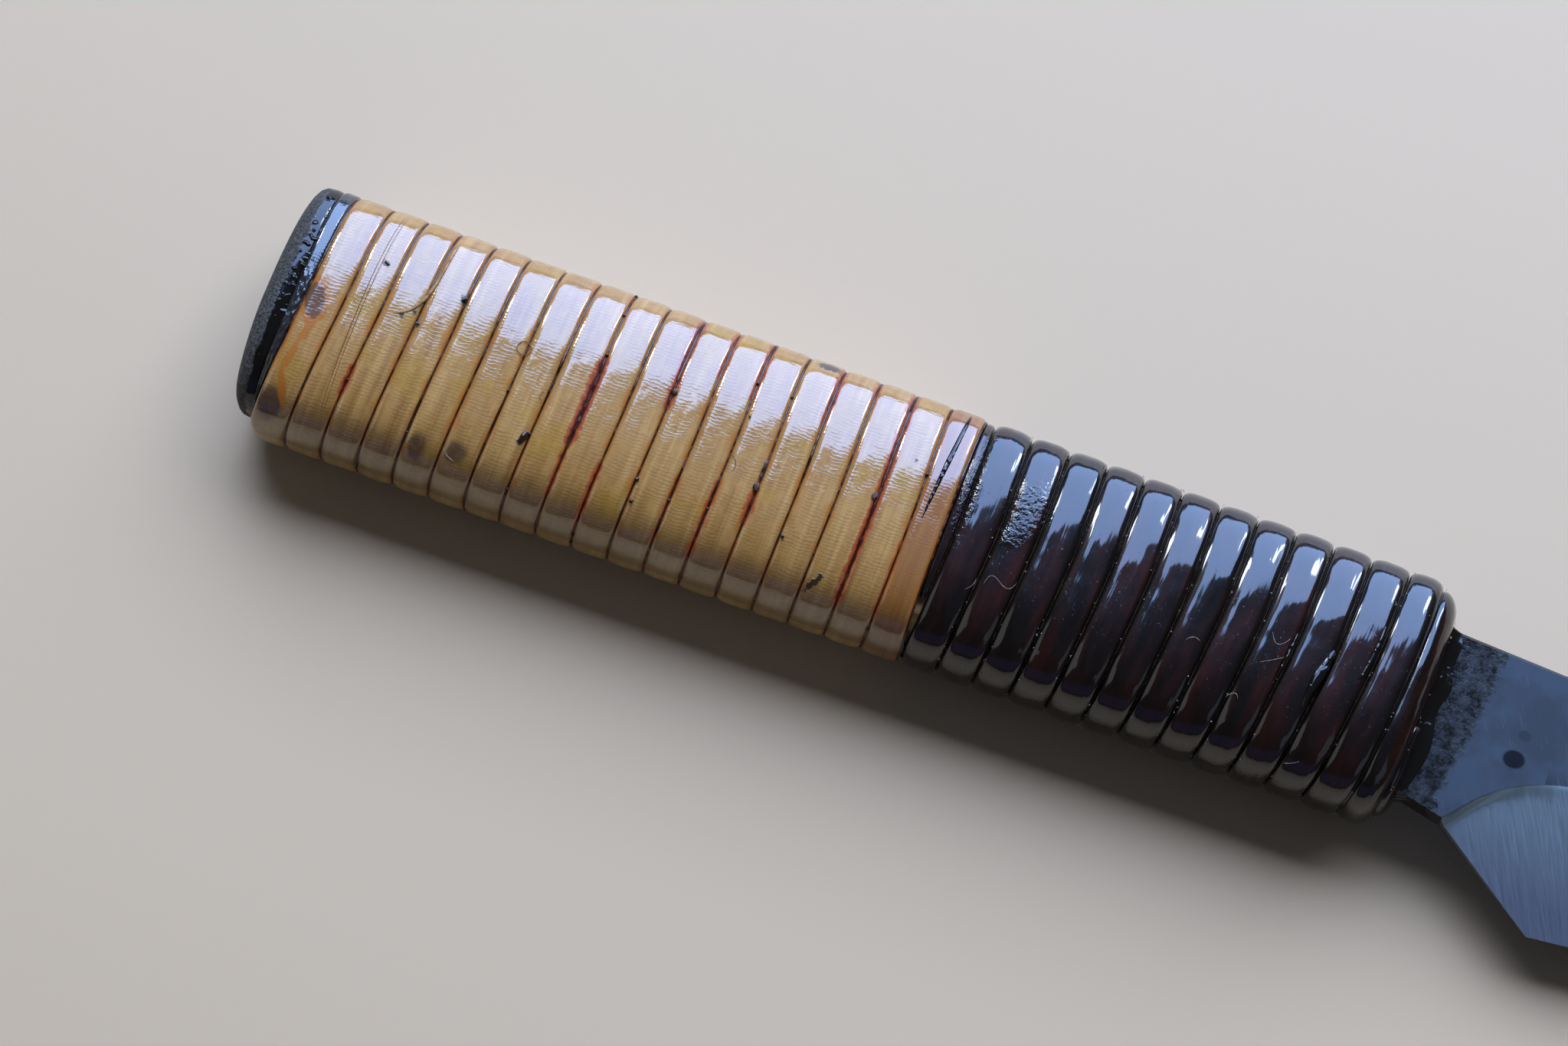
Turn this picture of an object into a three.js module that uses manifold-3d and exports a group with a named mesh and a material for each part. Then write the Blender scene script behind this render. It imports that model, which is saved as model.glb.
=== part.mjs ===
// Carpenter's knife with a lacquered, cane-wound handle.
// Millimetres, +Z up. The knife lies on its flat back, the point towards +X and the spine towards +Y.
// While it is modelled, x = 0 is the end of the handle where the blade comes out, y = 0 is the
// handle's centre line and z = 0 is the surface that the handle lies on.
import * as THREE from 'three';
import { mergeVertices } from 'three/addons/utils/BufferGeometryUtils.js';
import Module from 'manifold-3d';

const wasm = await Module();
wasm.setup();

// ---- Handle ----
const HANDLE_LENGTH = 131.3;
const HANDLE_WIDTH_AT_BUTT = 28.5;
const HANDLE_WIDTH_AT_NECK = 27.2;
const HANDLE_THICKNESS = 16;
const SQUARENESS = 3; // exponent of the superellipse that the handle is across; 2 would be an ellipse
const FLATS_ROUND = 20; // flat facets round the handle, a multiple of 4 so that one lies on each axis

// ---- Cane winding ----
const CANE_THICKNESS = 1.2;
const CANE_GAP = 0.25; // groove left between two turns
const NATURAL_CANE_WIDTH = 3.85;
const BLACK_CANE_WIDTH = 4.0;
const BLACK_WINDING_LENGTH = 50.2;
const NATURAL_EDGE_DROP = 0.35; // how far the strip's edges lie below its crown
const BLACK_EDGE_DROP = 0.7;
const NATURAL_CROWN_MARGIN = 0.12; // rounded share of the strip's width at each edge
const BLACK_CROWN_MARGIN = 0.24;
const TAIL_WIDTH = 0.6; // the strip's ends are cut to a taper that stops at this width
// Share of each turn's advance that is moved from the front face to the back, at a winding's two ends.
const NATURAL_BACK_SHARE = [0.9, 1.4];
const BLACK_BACK_SHARE = [0.9, -0.9];

// ---- Ends of the handle ----
const CAP_THICKNESS = 3.8;
const CAP_BOW = 1.3; // how much thinner the cap is at the handle's two sides than in the middle
const CAP_EASING = [[3, 0], [1, 0.2], [0, 0.9]]; // the eased rim: steps in from it and up from the face
const CAP_OVERHANG = 0.15; // how far the cap's rim stays inside the cane's outer surface
const SHOULDER_LENGTH = 3.2;
const SHOULDER_RADIUS = 3;
const SHOULDER_ARC_STEPS = 4;

// ---- Clearances ----
const GLUE_LINE = 0.1; // between the two halves of the core
const FIT = 0.2; // between two pieces that sit in or on each other

// ---- Blade, neck and tang ----
const BLADE_LENGTH = 95;
const BLADE_STOCK = 3.2;
const NECK_STEP_AT_SPINE = 4.5; // how far the neck stands back from the handle's side
const NECK_STEP_AT_EDGE = 4;
const NECK_LENGTH = 4.8;
const NECK_FLARE = 1.1; // how far the neck's lower side drops before its corner
const SPINE_FALL = 0.0551; // drop of the spine per millimetre towards the point
const HEEL_REACH = 12.25; // from the neck's corner to the heel's corner, along the blade
const HEEL_DROP = 8.2; // the same, across the blade
const EDGE_RISE = 0.104; // rise of the straight edge per millimetre towards the point
const BELLY_LENGTH = 35;
const BELLY_REACH = 24; // how far the straight edge's line runs on before the belly turns up
const TIP_LAND = 0.5;
const EDGE_LAND = 0.15;
const TIP_THICKNESS = 0.5;
const SPINE_CHAMFER = 0.35;
const PLUNGE_REACH = 11.3; // from the neck's corner to the end of the curve that the bevel starts on
const PLUNGE_RISE = 7.7;
const PLUNGE_BEND = [[1.8, 1.5], [3.4, 5.8]]; // that curve's two handles, from the neck's corner
const BEVEL_LINE_SHORT = 7; // how far before the point the bevel's upper line runs out on the spine
const PLUNGE_STEPS = 8;
const BEVEL_STEPS = 6;
const BELLY_STEPS = 12;
const WOOD_BEHIND_TANG = 23.4;
const TANG_END_WIDTH = 10;

// ---- Tang pegs ----
const PEG_DIAMETER = 3;
const PEG_FLATS = 12;
const FRONT_PEG_DEPTH = 28; // from the handle's front end
const REAR_PEG_TO_TANG_END = 20;

// ---- Values that follow ----
const MIDDLE = HANDLE_THICKNESS / 2;
const FACE = MIDDLE + BLADE_STOCK / 2;
const BACK = MIDDLE - BLADE_STOCK / 2;
const CUT_MARGIN = 1; // how far a cutting solid reaches past what it cuts
const ROUNDING = 2 / SQUARENESS;
const FLAT_ANGLE = (2 * Math.PI) / FLATS_ROUND;
const FLAT_OUTSET = 1 / Math.cos(FLAT_ANGLE / 2) ** ROUNDING;
const CORE_INSET = CANE_THICKNESS + FIT;
const CAP_INNER_FACE = -HANDLE_LENGTH + CAP_THICKNESS;
const SHOULDER_INNER_FACE = -SHOULDER_LENGTH;
const CORE_START = CAP_INNER_FACE + FIT;
const CORE_END = SHOULDER_INNER_FACE - FIT;
const BLACK_START = CORE_END - BLACK_WINDING_LENGTH;
const NECK_AT_SPINE = HANDLE_WIDTH_AT_NECK / 2 - NECK_STEP_AT_SPINE;
const NECK_AT_EDGE = HANDLE_WIDTH_AT_NECK / 2 - NECK_STEP_AT_EDGE;
const NECK_CORNER = new THREE.Vector2(NECK_LENGTH, -NECK_AT_EDGE - NECK_FLARE);
const HEEL_CORNER = new THREE.Vector2(HEEL_REACH, -HEEL_DROP).add(NECK_CORNER);
const BEVEL_START = new THREE.Vector2(PLUNGE_REACH, PLUNGE_RISE).add(NECK_CORNER);
const BEVEL_LINE_END = BLADE_LENGTH - BEVEL_LINE_SHORT;
const BELLY_START = BLADE_LENGTH - BELLY_LENGTH;
const TANG_END = CORE_START + WOOD_BEHIND_TANG;
const PEG_PLACES = [-FRONT_PEG_DEPTH, TANG_END + REAR_PEG_TO_TANG_END];

const MATERIALS = {
  steel: { color: 0x4a5566, roughness: 0.38, metalness: 0.9 },
  naturalCane: { color: 0xb07a3c, roughness: 0.25, metalness: 0 },
  blackCane: { color: 0x1c1113, roughness: 0.12, metalness: 0 },
  blackLacquer: { color: 0x15161a, roughness: 0.3, metalness: 0 },
  coreWood: { color: 0xc9a878, roughness: 0.7, metalness: 0 },
  pegBamboo: { color: 0xd8bd84, roughness: 0.6, metalness: 0 },
};

// ---- Solids and meshes ----

// A closed geometry as a solid that can be joined and cut.
function toSolid(geometry) {
  const bare = geometry.clone();
  bare.deleteAttribute('normal');
  bare.deleteAttribute('uv');
  const merged = mergeVertices(bare, 1e-5);
  const corners = merged.index.array;
  const kept = [];
  for (let i = 0; i < corners.length; i += 3) {
    const [a, b, c] = [corners[i], corners[i + 1], corners[i + 2]];
    if (a !== b && b !== c && c !== a) kept.push(a, b, c);
  }
  const mesh = new wasm.Mesh({
    numProp: 3,
    vertProperties: new Float32Array(merged.attributes.position.array),
    triVerts: new Uint32Array(kept),
  });
  return new wasm.Manifold(mesh);
}

function toGeometry(solid) {
  const mesh = solid.getMesh();
  const geometry = new THREE.BufferGeometry();
  geometry.setAttribute('position', new THREE.BufferAttribute(mesh.vertProperties, 3));
  geometry.setIndex(new THREE.BufferAttribute(mesh.triVerts, 1));
  geometry.computeVertexNormals();
  return geometry;
}

function namedMesh(name, geometry, material) {
  const mesh = new THREE.Mesh(geometry, new THREE.MeshStandardMaterial(MATERIALS[material]));
  mesh.name = name;
  return mesh;
}

// Moves every vertex of a geometry to where place(x, y, z) puts it.
function reshape(geometry, place) {
  const position = geometry.attributes.position;
  for (let i = 0; i < position.count; i++) {
    const [x, y, z] = place(position.getX(i), position.getY(i), position.getZ(i));
    position.setXYZ(i, x, y, z);
  }
  geometry.computeVertexNormals();
  return geometry;
}

// ---- The handle's outer surface ----

function halfWidthAt(x) {
  const share = -x / HANDLE_LENGTH;
  return THREE.MathUtils.lerp(HANDLE_WIDTH_AT_NECK, HANDLE_WIDTH_AT_BUTT, share) / 2;
}

function rounded(value) {
  return Math.sign(value) * Math.abs(value) ** ROUNDING;
}

// A point that lies `inset` below the handle's outer surface. The angle is 0 at +Y and 90 degrees at +Z.
function handlePoint(x, inset, angle) {
  const y = (halfWidthAt(x) - inset) * FLAT_OUTSET * rounded(Math.cos(angle));
  const z = (HANDLE_THICKNESS / 2 - inset) * FLAT_OUTSET * rounded(Math.sin(angle));
  return [x, y, MIDDLE + z];
}

// A solid that fills the handle's section. Each pair of the profile is an inset and a place along x,
// from the butt to the neck, and the solid closes on the centre line at its first and last place.
function handleFilling(profile) {
  const radius = (inset) => HANDLE_THICKNESS / 2 - inset;
  const points = profile.map(([inset, x]) => new THREE.Vector2(radius(inset), x));
  const outline = [new THREE.Vector2(0, points[0].y), ...points, new THREE.Vector2(0, points.at(-1).y)];
  const turned = new THREE.LatheGeometry(outline, FLATS_ROUND, FLAT_ANGLE / 2);
  return reshape(turned, (across, x, up) => {
    const reach = Math.hypot(across, up);
    if (reach < 1e-6) return [x, 0, MIDDLE];
    return handlePoint(x, HANDLE_THICKNESS / 2 - reach, Math.atan2(across, up));
  });
}

// ---- Cane windings ----

// Place of the boundary between two turns, in turns from the winding's start. The strip starts at the
// handle's spine side, crosses the back and comes up over the front.
function advance(turn, turnCount, [shareAtStart, shareAtEnd]) {
  const share = THREE.MathUtils.lerp(shareAtStart, shareAtEnd, turn / turnCount);
  return turn + (share / (2 * Math.PI)) * (1 - Math.cos(2 * Math.PI * turn));
}

// One strip of cane wound from `start` to `end`, with its two ends cut to a taper.
function woundStrip({ start, end, width, edgeDrop, crownMargin, backShare }) {
  const turnCount = Math.round((end - start) / (width + CANE_GAP));
  const pitch = (end - start) / turnCount;
  const turnAt = (step) => (step + 0.5) / FLATS_ROUND;
  const buttSide = (turn) => {
    if (turn < 1) return start;
    return start + pitch * advance(turn - 1, turnCount, backShare) + CANE_GAP;
  };
  const neckSide = (turn) => {
    if (turn > turnCount) return end;
    return start + pitch * advance(turn, turnCount, backShare);
  };
  const wideEnough = (step) => neckSide(turnAt(step)) - buttSide(turnAt(step)) >= TAIL_WIDTH;
  let firstStep = 0;
  while (!wideEnough(firstStep)) firstStep++;
  let lastStep = turnCount * FLATS_ROUND;
  while (wideEnough(lastStep + 1)) lastStep++;

  const section = new THREE.Shape([
    new THREE.Vector2(0, 0),
    new THREE.Vector2(1, 0),
    new THREE.Vector2(1, CANE_THICKNESS - edgeDrop),
    new THREE.Vector2(1 - crownMargin, CANE_THICKNESS),
    new THREE.Vector2(crownMargin, CANE_THICKNESS),
    new THREE.Vector2(0, CANE_THICKNESS - edgeDrop),
  ]);
  const steps = lastStep - firstStep;
  const straight = new THREE.ExtrudeGeometry(section, { depth: steps, steps, bevelEnabled: false });
  return reshape(straight, (across, height, step) => {
    const turn = turnAt(firstStep + step);
    const x = THREE.MathUtils.lerp(neckSide(turn), buttSide(turn), across);
    return handlePoint(x, CANE_THICKNESS - height, -2 * Math.PI * turn);
  });
}

function makeNaturalWinding() {
  const strip = woundStrip({
    start: CORE_START,
    end: BLACK_START - CANE_GAP,
    width: NATURAL_CANE_WIDTH,
    edgeDrop: NATURAL_EDGE_DROP,
    crownMargin: NATURAL_CROWN_MARGIN,
    backShare: NATURAL_BACK_SHARE,
  });
  return namedMesh('natural_cane_winding', strip, 'naturalCane');
}

function makeBlackWinding() {
  const strip = woundStrip({
    start: BLACK_START,
    end: CORE_END,
    width: BLACK_CANE_WIDTH,
    edgeDrop: BLACK_EDGE_DROP,
    crownMargin: BLACK_CROWN_MARGIN,
    backShare: BLACK_BACK_SHARE,
  });
  return namedMesh('black_cane_winding', strip, 'blackCane');
}

// ---- Blade ----

function spineAt(x) {
  return NECK_AT_SPINE - SPINE_FALL * x;
}

function straightEdgeAt(x) {
  return HEEL_CORNER.y + EDGE_RISE * (x - HEEL_CORNER.x);
}

function bellyCurve() {
  const turnUp = BELLY_START + BELLY_REACH;
  return new THREE.QuadraticBezierCurve(
    new THREE.Vector2(BELLY_START, straightEdgeAt(BELLY_START)),
    new THREE.Vector2(turnUp, straightEdgeAt(turnUp)),
    new THREE.Vector2(BLADE_LENGTH, spineAt(BLADE_LENGTH) - TIP_LAND),
  );
}

// The tang's outline, wider by `gap` on every side, with its open end at x = front.
function tangOutline(gap, front) {
  const end = TANG_END - gap;
  const halfEnd = TANG_END_WIDTH / 2 + gap;
  return [
    new THREE.Vector2(front, -NECK_AT_EDGE - gap),
    new THREE.Vector2(front, NECK_AT_SPINE + gap),
    new THREE.Vector2(end, halfEnd),
    new THREE.Vector2(end, -halfEnd),
  ];
}

function flatPlate(outline, bottom, top) {
  const plate = new THREE.ExtrudeGeometry(new THREE.Shape(outline), {
    depth: top - bottom,
    bevelEnabled: false,
  });
  plate.translate(0, 0, bottom);
  return plate;
}

// The places along x where the bevel is cut, each with the line that it falls from and the edge.
function bevelStations() {
  const bends = PLUNGE_BEND.map(([x, y]) => new THREE.Vector2(x, y).add(NECK_CORNER));
  const plunge = new THREE.CubicBezierCurve(NECK_CORNER, ...bends, BEVEL_START);
  const bevelLineAt = (x) => {
    const share = (x - BEVEL_START.x) / (BEVEL_LINE_END - BEVEL_START.x);
    return THREE.MathUtils.lerp(BEVEL_START.y, spineAt(BEVEL_LINE_END), share);
  };
  const stations = plunge.getPoints(PLUNGE_STEPS).map((point) => ({
    x: point.x,
    top: point.y,
    high: [bevelLineAt(point.x), FACE],
    edge: straightEdgeAt(point.x),
  }));
  const addStation = (x, edge) => {
    if (x <= BEVEL_LINE_END) {
      const line = bevelLineAt(x);
      stations.push({ x, top: line, high: [line, FACE], edge });
      return;
    }
    const share = (x - BEVEL_LINE_END) / BEVEL_LINE_SHORT;
    const thinned = THREE.MathUtils.lerp(FACE, BACK + TIP_THICKNESS, share);
    stations.push({ x, top: spineAt(x) + CUT_MARGIN, high: [spineAt(x), thinned], edge });
  };
  for (let i = 1; i < BEVEL_STEPS; i++) {
    const x = THREE.MathUtils.lerp(BEVEL_START.x, BELLY_START, i / BEVEL_STEPS);
    addStation(x, straightEdgeAt(x));
  }
  bellyCurve().getPoints(BELLY_STEPS).forEach((point) => addStation(point.x, point.y));
  const last = stations.at(-1);
  stations.push({ ...last, x: last.x + CUT_MARGIN });
  return stations;
}

// The solid that is ground away above the bevel.
function bevelCutter() {
  const stations = bevelStations();
  const section = new THREE.Shape([
    new THREE.Vector2(0, 0),
    new THREE.Vector2(1, 0),
    new THREE.Vector2(1, 1),
    new THREE.Vector2(0, 1),
  ]);
  const steps = stations.length - 1;
  const straight = new THREE.ExtrudeGeometry(section, { depth: steps, steps, bevelEnabled: false });
  return reshape(straight, (across, height, step) => {
    const { x, top, high, edge } = stations[Math.round(step)];
    const [highY, highZ] = high;
    const low = edge - 2 * CUT_MARGIN;
    const y = across === 1 ? top : low;
    const slope = (highZ - BACK - EDGE_LAND) / (highY - edge);
    const ground = BACK + EDGE_LAND + slope * (y - edge);
    return [x, y, height === 1 ? FACE + 2 * CUT_MARGIN : ground];
  });
}

// A prism that takes the sharp corner off the front of the spine.
function spineChamferCutter() {
  const section = new THREE.Shape([
    new THREE.Vector2(CUT_MARGIN, -SPINE_CHAMFER - CUT_MARGIN),
    new THREE.Vector2(CUT_MARGIN, CUT_MARGIN),
    new THREE.Vector2(-SPINE_CHAMFER - CUT_MARGIN, CUT_MARGIN),
  ]);
  const straight = new THREE.ExtrudeGeometry(section, {
    depth: BLADE_LENGTH + CUT_MARGIN,
    bevelEnabled: false,
  });
  return reshape(straight, (out, up, x) => [x, spineAt(x) + out, FACE + up]);
}

function pegCylinder(x, radius, bottom, top) {
  const peg = new THREE.CylinderGeometry(radius, radius, top - bottom, PEG_FLATS);
  peg.rotateX(Math.PI / 2);
  peg.translate(x, 0, (bottom + top) / 2);
  return peg;
}

function pegHoles(bottom, top) {
  const holes = PEG_PLACES.map((x) => toSolid(pegCylinder(x, PEG_DIAMETER / 2 + FIT, bottom, top)));
  return holes.reduce((all, hole) => all.add(hole));
}

function makeBlade() {
  const [neckLow, neckHigh, tangHigh, tangLow] = tangOutline(0, 0);
  const belly = bellyCurve().getPoints(BELLY_STEPS);
  const outline = [
    neckLow,
    NECK_CORNER,
    HEEL_CORNER,
    ...belly,
    new THREE.Vector2(BLADE_LENGTH, spineAt(BLADE_LENGTH)),
    neckHigh,
    tangHigh,
    tangLow,
  ];
  const blank = toSolid(flatPlate(outline, BACK, FACE));
  const ground = blank.subtract(toSolid(bevelCutter()));
  const eased = ground.subtract(toSolid(spineChamferCutter()));
  const drilled = eased.subtract(pegHoles(BACK - CUT_MARGIN, FACE + CUT_MARGIN));
  return namedMesh('blade_with_tang', toGeometry(drilled), 'steel');
}

// ---- Core, pegs and ends ----

// Both halves of the core with the bed for the tang and the peg holes.
function makeCoreHalves() {
  const whole = toSolid(handleFilling([
    [CORE_INSET, CORE_START],
    [CORE_INSET, CORE_END],
  ]));
  const bed = toSolid(flatPlate(tangOutline(FIT, CUT_MARGIN), BACK - FIT, FACE + FIT));
  const hollow = whole.subtract(bed).subtract(pegHoles(-CUT_MARGIN, HANDLE_THICKNESS + CUT_MARGIN));
  const side = HANDLE_LENGTH + CUT_MARGIN;
  const square = [
    new THREE.Vector2(-side, -side),
    new THREE.Vector2(side, -side),
    new THREE.Vector2(side, side),
    new THREE.Vector2(-side, side),
  ];
  const above = toSolid(flatPlate(square, MIDDLE + GLUE_LINE / 2, HANDLE_THICKNESS + CUT_MARGIN));
  const below = toSolid(flatPlate(square, -CUT_MARGIN, MIDDLE - GLUE_LINE / 2));
  return [
    namedMesh('core_front_half', toGeometry(hollow.intersect(above)), 'coreWood'),
    namedMesh('core_back_half', toGeometry(hollow.intersect(below)), 'coreWood'),
  ];
}

function makePegs() {
  const bottom = CORE_INSET;
  const top = HANDLE_THICKNESS - CORE_INSET;
  const names = ['tang_peg_front', 'tang_peg_rear'];
  return PEG_PLACES.map((x, i) => {
    return namedMesh(names[i], pegCylinder(x, PEG_DIAMETER / 2, bottom, top), 'pegBamboo');
  });
}

function makeButtCap() {
  const eased = CAP_EASING.map(([inset, rise]) => [CAP_OVERHANG + inset, rise - HANDLE_LENGTH]);
  const straight = handleFilling([...eased, [CAP_OVERHANG, CAP_INNER_FACE]]);
  const cap = reshape(straight, (x, y, z) => {
    const bow = x < CAP_INNER_FACE ? CAP_BOW * (y / halfWidthAt(x)) ** 2 : 0;
    return [x + bow, y, z];
  });
  return namedMesh('butt_cap', cap, 'blackLacquer');
}

function makeShoulderSeal() {
  const profile = [];
  for (let i = 0; i <= SHOULDER_ARC_STEPS; i++) {
    const angle = (i / SHOULDER_ARC_STEPS) * (Math.PI / 2);
    const inset = SHOULDER_RADIUS * (1 - Math.cos(angle));
    const x = SHOULDER_RADIUS * (Math.sin(angle) - 1);
    profile.push([inset, x]);
  }
  const disc = toSolid(handleFilling([[0, SHOULDER_INNER_FACE], ...profile]));
  const slot = toSolid(flatPlate(tangOutline(FIT, CUT_MARGIN), BACK - FIT, FACE + FIT));
  return namedMesh('shoulder_seal', toGeometry(disc.subtract(slot)), 'blackLacquer');
}

// ---- The knife, with its origin under the middle of its outline ----

const knife = new THREE.Group();
knife.add(
  makeBlade(),
  ...makeCoreHalves(),
  ...makePegs(),
  makeButtCap(),
  makeShoulderSeal(),
  makeNaturalWinding(),
  makeBlackWinding(),
);

const extent = new THREE.Box3().setFromObject(knife);
const middle = extent.getCenter(new THREE.Vector3());
knife.position.set(-middle.x, -middle.y, -extent.min.z);

const group = new THREE.Group();
group.add(knife);

export default group;
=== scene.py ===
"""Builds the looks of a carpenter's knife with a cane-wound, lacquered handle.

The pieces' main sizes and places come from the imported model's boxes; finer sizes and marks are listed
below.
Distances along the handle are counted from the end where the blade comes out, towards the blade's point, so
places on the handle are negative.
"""

import logging
import math
from dataclasses import dataclass, field
from enum import Enum
from typing import Sequence

import bmesh
import bpy
import numpy as np
from mathutils import Matrix, Quaternion, Vector


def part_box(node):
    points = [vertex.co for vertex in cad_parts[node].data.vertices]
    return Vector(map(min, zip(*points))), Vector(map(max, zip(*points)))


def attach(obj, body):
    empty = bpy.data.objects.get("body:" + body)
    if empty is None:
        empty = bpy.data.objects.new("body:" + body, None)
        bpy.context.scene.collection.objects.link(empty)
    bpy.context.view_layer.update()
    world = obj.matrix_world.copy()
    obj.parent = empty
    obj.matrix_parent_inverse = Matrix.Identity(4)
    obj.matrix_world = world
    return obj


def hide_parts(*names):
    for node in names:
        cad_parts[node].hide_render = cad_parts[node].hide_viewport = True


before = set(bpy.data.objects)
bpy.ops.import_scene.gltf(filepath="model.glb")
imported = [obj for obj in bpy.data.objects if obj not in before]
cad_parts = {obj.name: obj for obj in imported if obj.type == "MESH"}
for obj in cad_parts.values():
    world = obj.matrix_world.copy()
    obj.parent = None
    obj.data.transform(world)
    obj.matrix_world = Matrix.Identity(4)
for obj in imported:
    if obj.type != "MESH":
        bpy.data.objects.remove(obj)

LOG = logging.getLogger("knife")
MM = 0.001
TURN = 2 * math.pi
SAME_PLACE = 1e-7
BODY = "root"
STRIP_SUNK = 0.1 * MM  # how far the strips' crowns lie below the handle's outer surface
BELOW_TOP = 0.01 * MM  # how far drops and threads stay below the handle's highest level
NEVER_MATT = -1000.0  # a place in millimetres that lies before every piece
FRONT_FROM = 2 * MM  # painted marks begin this far below the handle's middle level
FRONT_FULL = 1 * MM  # and have their full strength this far above it
MARK_EDGE = 1.35  # where an oval mark ends, as a share of its half length
MARK_CORE = 0.4  # the part of it that has the full strength

Colour = tuple[float, float, float]
Path = tuple[tuple[float, float], ...]


# ---------------------------------------------------------------------------------------------------
# Arithmetic inside node trees
# ---------------------------------------------------------------------------------------------------


class Flow:
    """A number or vector inside a node tree, which is reckoned with like a plain number."""

    def __init__(self, tree: bpy.types.NodeTree, socket: bpy.types.NodeSocket) -> None:
        """Keeps the tree and the output socket that carries the value."""
        self.tree = tree
        self.socket = socket

    def _math(self, operation: str, *others: "Flow | float") -> "Flow":
        """Adds one Math node.

        Args:
            operation: the Math node's operation.
            others: the further operands.

        Returns:
            The node's result.
        """
        node = self.tree.nodes.new("ShaderNodeMath")
        node.operation = operation
        plug(self.tree, node.inputs[0], self)
        for place, other in enumerate(others, 1):
            plug(self.tree, node.inputs[place], other)
        return Flow(self.tree, node.outputs[0])

    def __add__(self, other: "Flow | float") -> "Flow":
        """Returns the sum."""
        return self._math("ADD", other)

    __radd__ = __add__

    def __sub__(self, other: "Flow | float") -> "Flow":
        """Returns the difference."""
        return self._math("SUBTRACT", other)

    def __rsub__(self, other: float) -> "Flow":
        """Returns the difference the other way round."""
        return (self * -1.0) + other

    def __mul__(self, other: "Flow | float") -> "Flow":
        """Returns the product."""
        return self._math("MULTIPLY", other)

    __rmul__ = __mul__

    def __truediv__(self, other: "Flow | float") -> "Flow":
        """Returns the quotient."""
        return self._math("DIVIDE", other)

    def __pow__(self, other: "Flow | float") -> "Flow":
        """Returns the power."""
        return self._math("POWER", other)

    def sin(self) -> "Flow":
        """Returns the sine."""
        return self._math("SINE")

    def cos(self) -> "Flow":
        """Returns the cosine."""
        return self._math("COSINE")

    def size(self) -> "Flow":
        """Returns the absolute value."""
        return self._math("ABSOLUTE")

    def sign(self) -> "Flow":
        """Returns the sign."""
        return self._math("SIGN")

    def least(self, other: "Flow | float") -> "Flow":
        """Returns the lesser of two values."""
        return self._math("MINIMUM", other)

    def most(self, other: "Flow | float") -> "Flow":
        """Returns the greater of two values."""
        return self._math("MAXIMUM", other)

    def above(self, other: "Flow | float") -> "Flow":
        """Returns 1 where this value is greater, and 0 elsewhere."""
        return self._math("GREATER_THAN", other)

    def swell(self, power: "Flow | float") -> "Flow":
        """Returns the value raised to a power with its sign kept."""
        return self.sign() * self.size() ** power

    def ramp(self, low: float, high: float, out_low: float = 0.0, out_high: float = 1.0) -> "Flow":
        """Turns a range smoothly into another one.

        Args:
            low: the value that becomes out_low.
            high: the value that becomes out_high.
            out_low: the result at low and beyond it.
            out_high: the result at high and beyond it.

        Returns:
            The smoothly limited value.
        """
        node = self.tree.nodes.new("ShaderNodeMapRange")
        node.interpolation_type = "SMOOTHSTEP"
        plug(self.tree, node.inputs["Value"], self)
        node.inputs["From Min"].default_value = low
        node.inputs["From Max"].default_value = high
        node.inputs["To Min"].default_value = out_low
        node.inputs["To Max"].default_value = out_high
        return Flow(self.tree, node.outputs["Result"])


def plug(tree: bpy.types.NodeTree, socket: bpy.types.NodeSocket, value: "Flow | float") -> None:
    """Links a value to an input, or sets the input to a plain number.

    Args:
        tree: the node tree.
        socket: the input.
        value: what it gets.
    """
    if isinstance(value, Flow):
        tree.links.new(value.socket, socket)
    else:
        socket.default_value = value


def blend(low: "Flow | float", high: Flow, share: Flow) -> Flow:
    """Returns the value between low and high at a share of the way."""
    return (high - low) * share + low


def vector(tree: bpy.types.NodeTree, *parts: "Flow | float") -> Flow:
    """Joins two or three values into a vector."""
    node = tree.nodes.new("ShaderNodeCombineXYZ")
    for socket, part in zip(node.inputs, parts):
        plug(tree, socket, part)
    return Flow(tree, node.outputs[0])


def parts_of(flow: Flow) -> tuple[Flow, Flow, Flow]:
    """Splits a vector into its three parts."""
    node = flow.tree.nodes.new("ShaderNodeSeparateXYZ")
    plug(flow.tree, node.inputs[0], flow)
    x, y, z = (Flow(flow.tree, out) for out in node.outputs)
    return x, y, z


def noise(where: Flow, scale: float = 1.0, detail: float = 2.0, rough: float = 0.5) -> Flow:
    """Returns smooth noise between 0 and 1.

    Args:
        where: the vector that the noise is read at.
        scale: how many features fit in one unit.
        detail: the number of finer octaves.
        rough: the strength of the finer octaves.

    Returns:
        The noise value.
    """
    node = where.tree.nodes.new("ShaderNodeTexNoise")
    plug(where.tree, node.inputs["Vector"], where)
    node.inputs["Scale"].default_value = scale
    node.inputs["Detail"].default_value = detail
    node.inputs["Roughness"].default_value = rough
    return Flow(where.tree, node.outputs[0])


def chance(tree: bpy.types.NodeTree, low: float, high: float, seed: int) -> Flow:
    """Returns a different number between low and high for each point."""
    node = tree.nodes.new("FunctionNodeRandomValue")
    node.data_type = "FLOAT"
    node.inputs[2].default_value = low
    node.inputs[3].default_value = high
    node.inputs["Seed"].default_value = seed
    return Flow(tree, node.outputs[1])


# ---------------------------------------------------------------------------------------------------
# The handle's shape
# ---------------------------------------------------------------------------------------------------


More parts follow.
